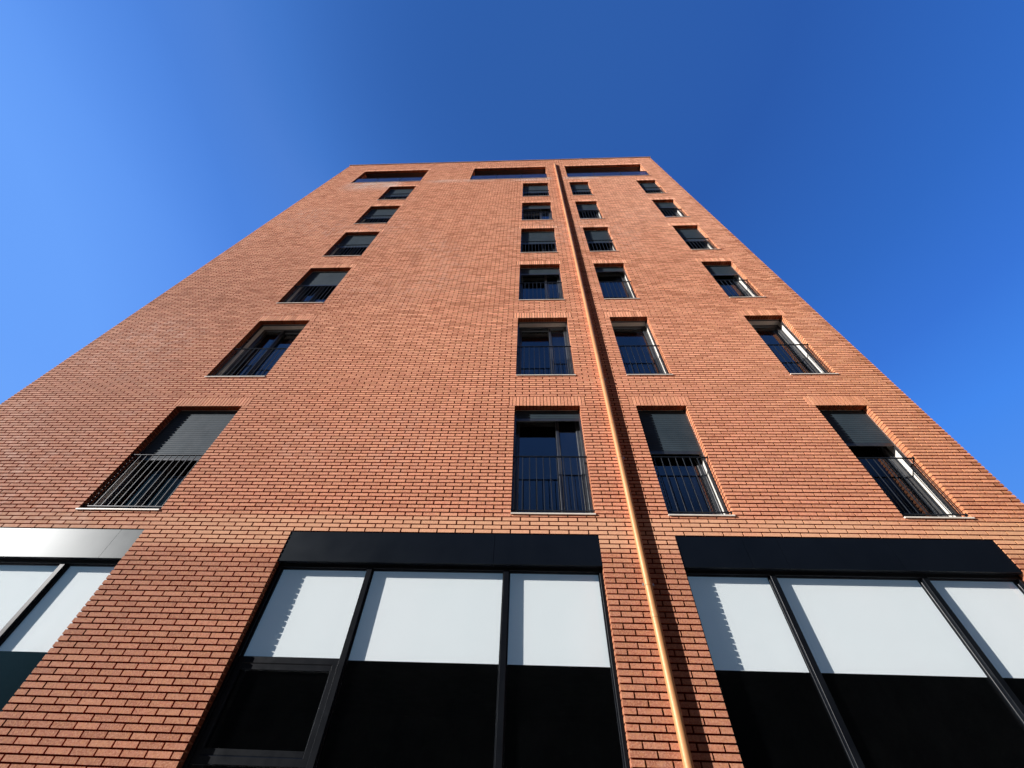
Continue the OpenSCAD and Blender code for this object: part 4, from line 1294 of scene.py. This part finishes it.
# ------------------------------------------------------------------ copings and roof
def coping_run(soup, place, a, b, step=2.4, w0=-0.040, w1=WALL + 0.040):
    """Folded sheet on the wall's top with a fall to the inside, drips and raised joints."""
    z0, z1 = Z_WALL, H
    prof = [(w0, z0), (w0 + 0.004, z0 - 0.0), (w0 + 0.004, z0 + 0.010), (w1 - 0.004, z0 + 0.010), (w1 - 0.004, z0), (w1, z0),
            (w1, z1 - 0.016), (w1 - 0.003, z1 - 0.013), (w0 + 0.004, z1 - 0.0035), (w0, z1 - 0.007)]
    n = max(1, round((b - a) / step))
    for i in range(n):
        x0, x1 = a + (b - a) * i / n + (0.001 if i else 0), a + (b - a) * (i + 1) / n - (0.001 if i < n - 1 else 0)
        soup.prism(prof, x0, x1, lambda x, u, w: place(x, u, w), 0)
    cover = [(w0 + 0.0005, z0 + 0.004), (w1 - 0.0005, z0 + 0.004), (w1 - 0.0005, z1 - 0.0125), (w1 - 0.004, z1 - 0.0095), (w0 + 0.004, z1), (w0 + 0.0005, z1 - 0.004)]
    for i in range(1, n):
        x = a + (b - a) * i / n
        soup.prism(cover, x - 0.030, x + 0.030, lambda x, u, w: place(x, u, w), 0)


s = Soup()
coping_run(s, at_front, XL - 0.04, XR + 0.04)
coping_run(s, at_rear, XL - 0.04, XR + 0.04)
make("coping_front_rear", s, [M_COPING], ["parapet_coping"])
s = Soup()
for place in (at_left, at_right):
    coping_run(s, place, -6.0 + WALL + 0.04, 6.0 - WALL - 0.04)
make("coping_sides", s, [M_COPING], ["side_copings"])

# roof finish: lapped felt sheets on the slab and turned up at the parapets
s = Soup()
ZR = 25.8375
x0, x1, y0, y1 = XL + WALL, XR - WALL, YF + WALL, YB - WALL
n = 16
for i in range(n):
    a, b = x0 + (x1 - x0) * i / n, x0 + (x1 - x0) * (i + 1) / n
    lap = 0.06 if i < n - 1 else 0.0
    s.prism([(a, ZR), (b + lap, ZR + (0.005 if lap else 0.0)), (b + lap, ZR + (0.010 if lap else 0.005)), (a, ZR + 0.005)],
            y0, y1, lambda h, u, w: (u, h, w), 0)
for a, b, place in ((x0, x1, lambda h, u, w: (h, y0 + u, w)), (x0, x1, lambda h, u, w: (h, y1 - u, w)),
                    (y0, y1, lambda h, u, w: (x0 + u, h, w)), (y0, y1, lambda h, u, w: (x1 - u, h, w))):
    s.prism([(0.0, ZR + 0.004), (0.060, ZR + 0.010), (0.012, ZR + 0.060), (0.006, ZR + 0.300), (0.0, ZR + 0.303)], a, b, place, 0)
make("roof_felt", s, [M_ROOF])

# carried-over construction, in the near-black slab colour that paints the shade of the unlit rooms
for node, mat in (("ground_slab", M_SLAB_PAINTED_DARK), ("floor_slabs", M_SLAB_PAINTED_DARK), ("roof_slab", M_SLAB_PAINTED_DARK)):
    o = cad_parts[node]
    o = bpy.data.objects[o] if isinstance(o, str) else o
    me = o.data
    if not me.materials:
        me.materials.append(mat)
    for sl in o.material_slots:
        sl.material = mat

# ------------------------------------------------------------------ stage, light, camera
fl = bpy.data.meshes.new("studio_floor")
fl.from_pydata([(-120, -120, -0.004), (120, -120, -0.004), (120, 120, -0.004), (-120, 120, -0.004)], [], [(0, 1, 2, 3)])
fl.materials.append(floor_material())
fo = bpy.data.objects.new("studio_floor", fl)
SCENE.collection.objects.link(fo)
fo.visible_diffuse = False

world = bpy.data.worlds.new("studio")
SCENE.world = world
world.use_nodes = True
wt = world.node_tree
wt.nodes.clear()
# a plain graded blue backdrop, paler on the left; what glossy faces mirror is dark
# up to roof height over the street; the shade gets a weaker, softer fill
way = wt.nodes.new("ShaderNodeTexCoord")
sep = wt.nodes.new("ShaderNodeSeparateXYZ")
wt.links.new(way.outputs["Generated"], sep.inputs[0])


def sky_ramp(stops):
    n = wt.nodes.new("ShaderNodeValToRGB")
    e = n.color_ramp.elements
    while len(e) < len(stops):
        e.new(0.5)
    for q, (pos, c) in enumerate(stops):
        e[q].position = pos
        e[q].color = (*c, 1)
    wt.links.new(sep.outputs[2], n.inputs["Fac"])
    return n.outputs["Color"]


def sky_mix(fac, a, b):
    n = wt.nodes.new("ShaderNodeMix")
    n.data_type = "RGBA"
    wt.links.new(fac, n.inputs["Factor"])
    ins = [i for i in n.inputs if i.type == "RGBA"]
    wt.links.new(a, ins[0])
    wt.links.new(b, ins[1])
    return [o for o in n.outputs if o.type == "RGBA"][0]


def sky_span(value, a, b):
    n = wt.nodes.new("ShaderNodeMapRange")
    n.clamp = True
    wt.links.new(value, n.inputs["Value"])
    n.inputs[1].default_value, n.inputs[2].default_value = a, b
    return n.outputs[0]


HIGH = (0.028, 0.112, 0.405)
right = sky_ramp(((0.0, (0.16, 0.42, 0.95)), (0.50, (0.058, 0.248, 0.85)), (0.616, (0.041, 0.178, 0.68)),
                  (0.731, (0.031, 0.143, 0.549)), (0.90, (0.024, 0.103, 0.41)), (1.0, HIGH)))
left = sky_ramp(((0.0, (0.20, 0.45, 0.98)), (0.50, (0.10, 0.28, 0.86)), (0.72, (0.080, 0.248, 0.79)),
                 (0.80, (0.076, 0.236, 0.74)), (0.865, (0.073, 0.215, 0.66)), (0.90, (0.056, 0.188, 0.60)), (1.0, HIGH)))
edge = sky_ramp(((0.0, (0.20, 0.45, 0.98)), (0.50, (0.142, 0.368, 0.97)), (0.72, (0.138, 0.358, 0.955)),
                 (0.80, (0.115, 0.310, 0.87)), (0.90, (0.095, 0.255, 0.75)), (1.0, HIGH)))
grade = sky_mix(sky_span(sep.outputs[0], 0.05, -0.42), right, left)
grade = sky_mix(sky_span(sep.outputs[0], -0.57, -0.75), grade, edge)
over_street = sky_ramp(((0.0, (0.004, 0.005, 0.006)), (0.30, (0.005, 0.007, 0.009)), (0.42, (0.012, 0.022, 0.040)),
                        (0.56, (0.085, 0.22, 0.60)), (0.72, (0.095, 0.26, 0.76)), (1.0, HIGH)))
over_left = sky_ramp(((0.0, (0.06, 0.15, 0.20)), (0.30, (0.15, 0.36, 0.50)), (0.42, (0.13, 0.32, 0.52)),
                      (0.56, (0.085, 0.24, 0.62)), (0.72, (0.095, 0.26, 0.76)), (1.0, HIGH)))
street_side = sky_mix(sky_span(sep.outputs[0], -0.60, -0.76), over_street, over_left)
mirrored = sky_mix(sky_span(sep.outputs[1], 0.05, -0.05), grade, street_side)
seen = wt.nodes.new("ShaderNodeBackground")
wt.links.new(grade, seen.inputs["Color"])
seen.inputs["Strength"].default_value = 1.0
shine = wt.nodes.new("ShaderNodeBackground")
wt.links.new(mirrored, shine.inputs["Color"])
shine.inputs["Strength"].default_value = 1.0
fill = wt.nodes.new("ShaderNodeBackground")
wt.links.new(sky_ramp(((0.0, (0.30, 0.17, 0.12)), (0.42, (0.34, 0.26, 0.26)), (0.52, (0.44, 0.62, 1.0)), (1.0, (0.40, 0.60, 1.10)))), fill.inputs["Color"])
fill.inputs["Strength"].default_value = 0.16
path = wt.nodes.new("ShaderNodeLightPath")
soft = wt.nodes.new("ShaderNodeMixShader")
wt.links.new(path.outputs["Is Glossy Ray"], soft.inputs[0])
wt.links.new(fill.outputs[0], soft.inputs[1])
wt.links.new(shine.outputs[0], soft.inputs[2])
both = wt.nodes.new("ShaderNodeMixShader")
wt.links.new(path.outputs["Is Camera Ray"], both.inputs[0])
wt.links.new(soft.outputs[0], both.inputs[1])
wt.links.new(seen.outputs[0], both.inputs[2])
wo = wt.nodes.new("ShaderNodeOutputWorld")
wt.links.new(both.outputs[0], wo.inputs["Surface"])


def sun(name, travel, strength, angle, color):
    d = bpy.data.lights.new(name, "SUN")
    d.energy = strength
    d.angle = math.radians(angle)
    d.color = color
    o = bpy.data.objects.new(name, d)
    v = Vector(travel).normalized()
    o.rotation_euler = v.to_track_quat("-Z", "Y").to_euler()
    o.location = -v * 60
    SCENE.collection.objects.link(o)
    return o


sun("key", (0.869, 0.387, -0.309), 7.7, 0.6, (1.0, 0.965, 0.945))
sun("back_fill", (-0.55, -0.72, -0.42), 2.2, 12.0, (0.95, 0.97, 1.0))

cam = bpy.data.cameras.new("camera")
co = bpy.data.objects.new("camera", cam)
SCENE.collection.objects.link(co)
cam.sensor_fit = "HORIZONTAL"
cam.sensor_width = 36.0
cam.lens = 400.152 / 1024 * 36.0
cam.clip_start, cam.clip_end = 0.05, 500.0
r = Vector((0.99905321, 0.03084551, 0.03067967))
dn = Vector((-0.00369874, 0.76286703, -0.64654483))
fw = Vector((-0.04334751, 0.64581921, 0.76225884))
rot = Matrix((r, -dn, -fw)).transposed()
co.matrix_world = Matrix.Translation((1.7485, -11.0, 1.58)) @ rot.to_4x4()
SCENE.camera = co
SCENE.view_settings.view_transform = "Standard"
SCENE.view_settings.look = "None"
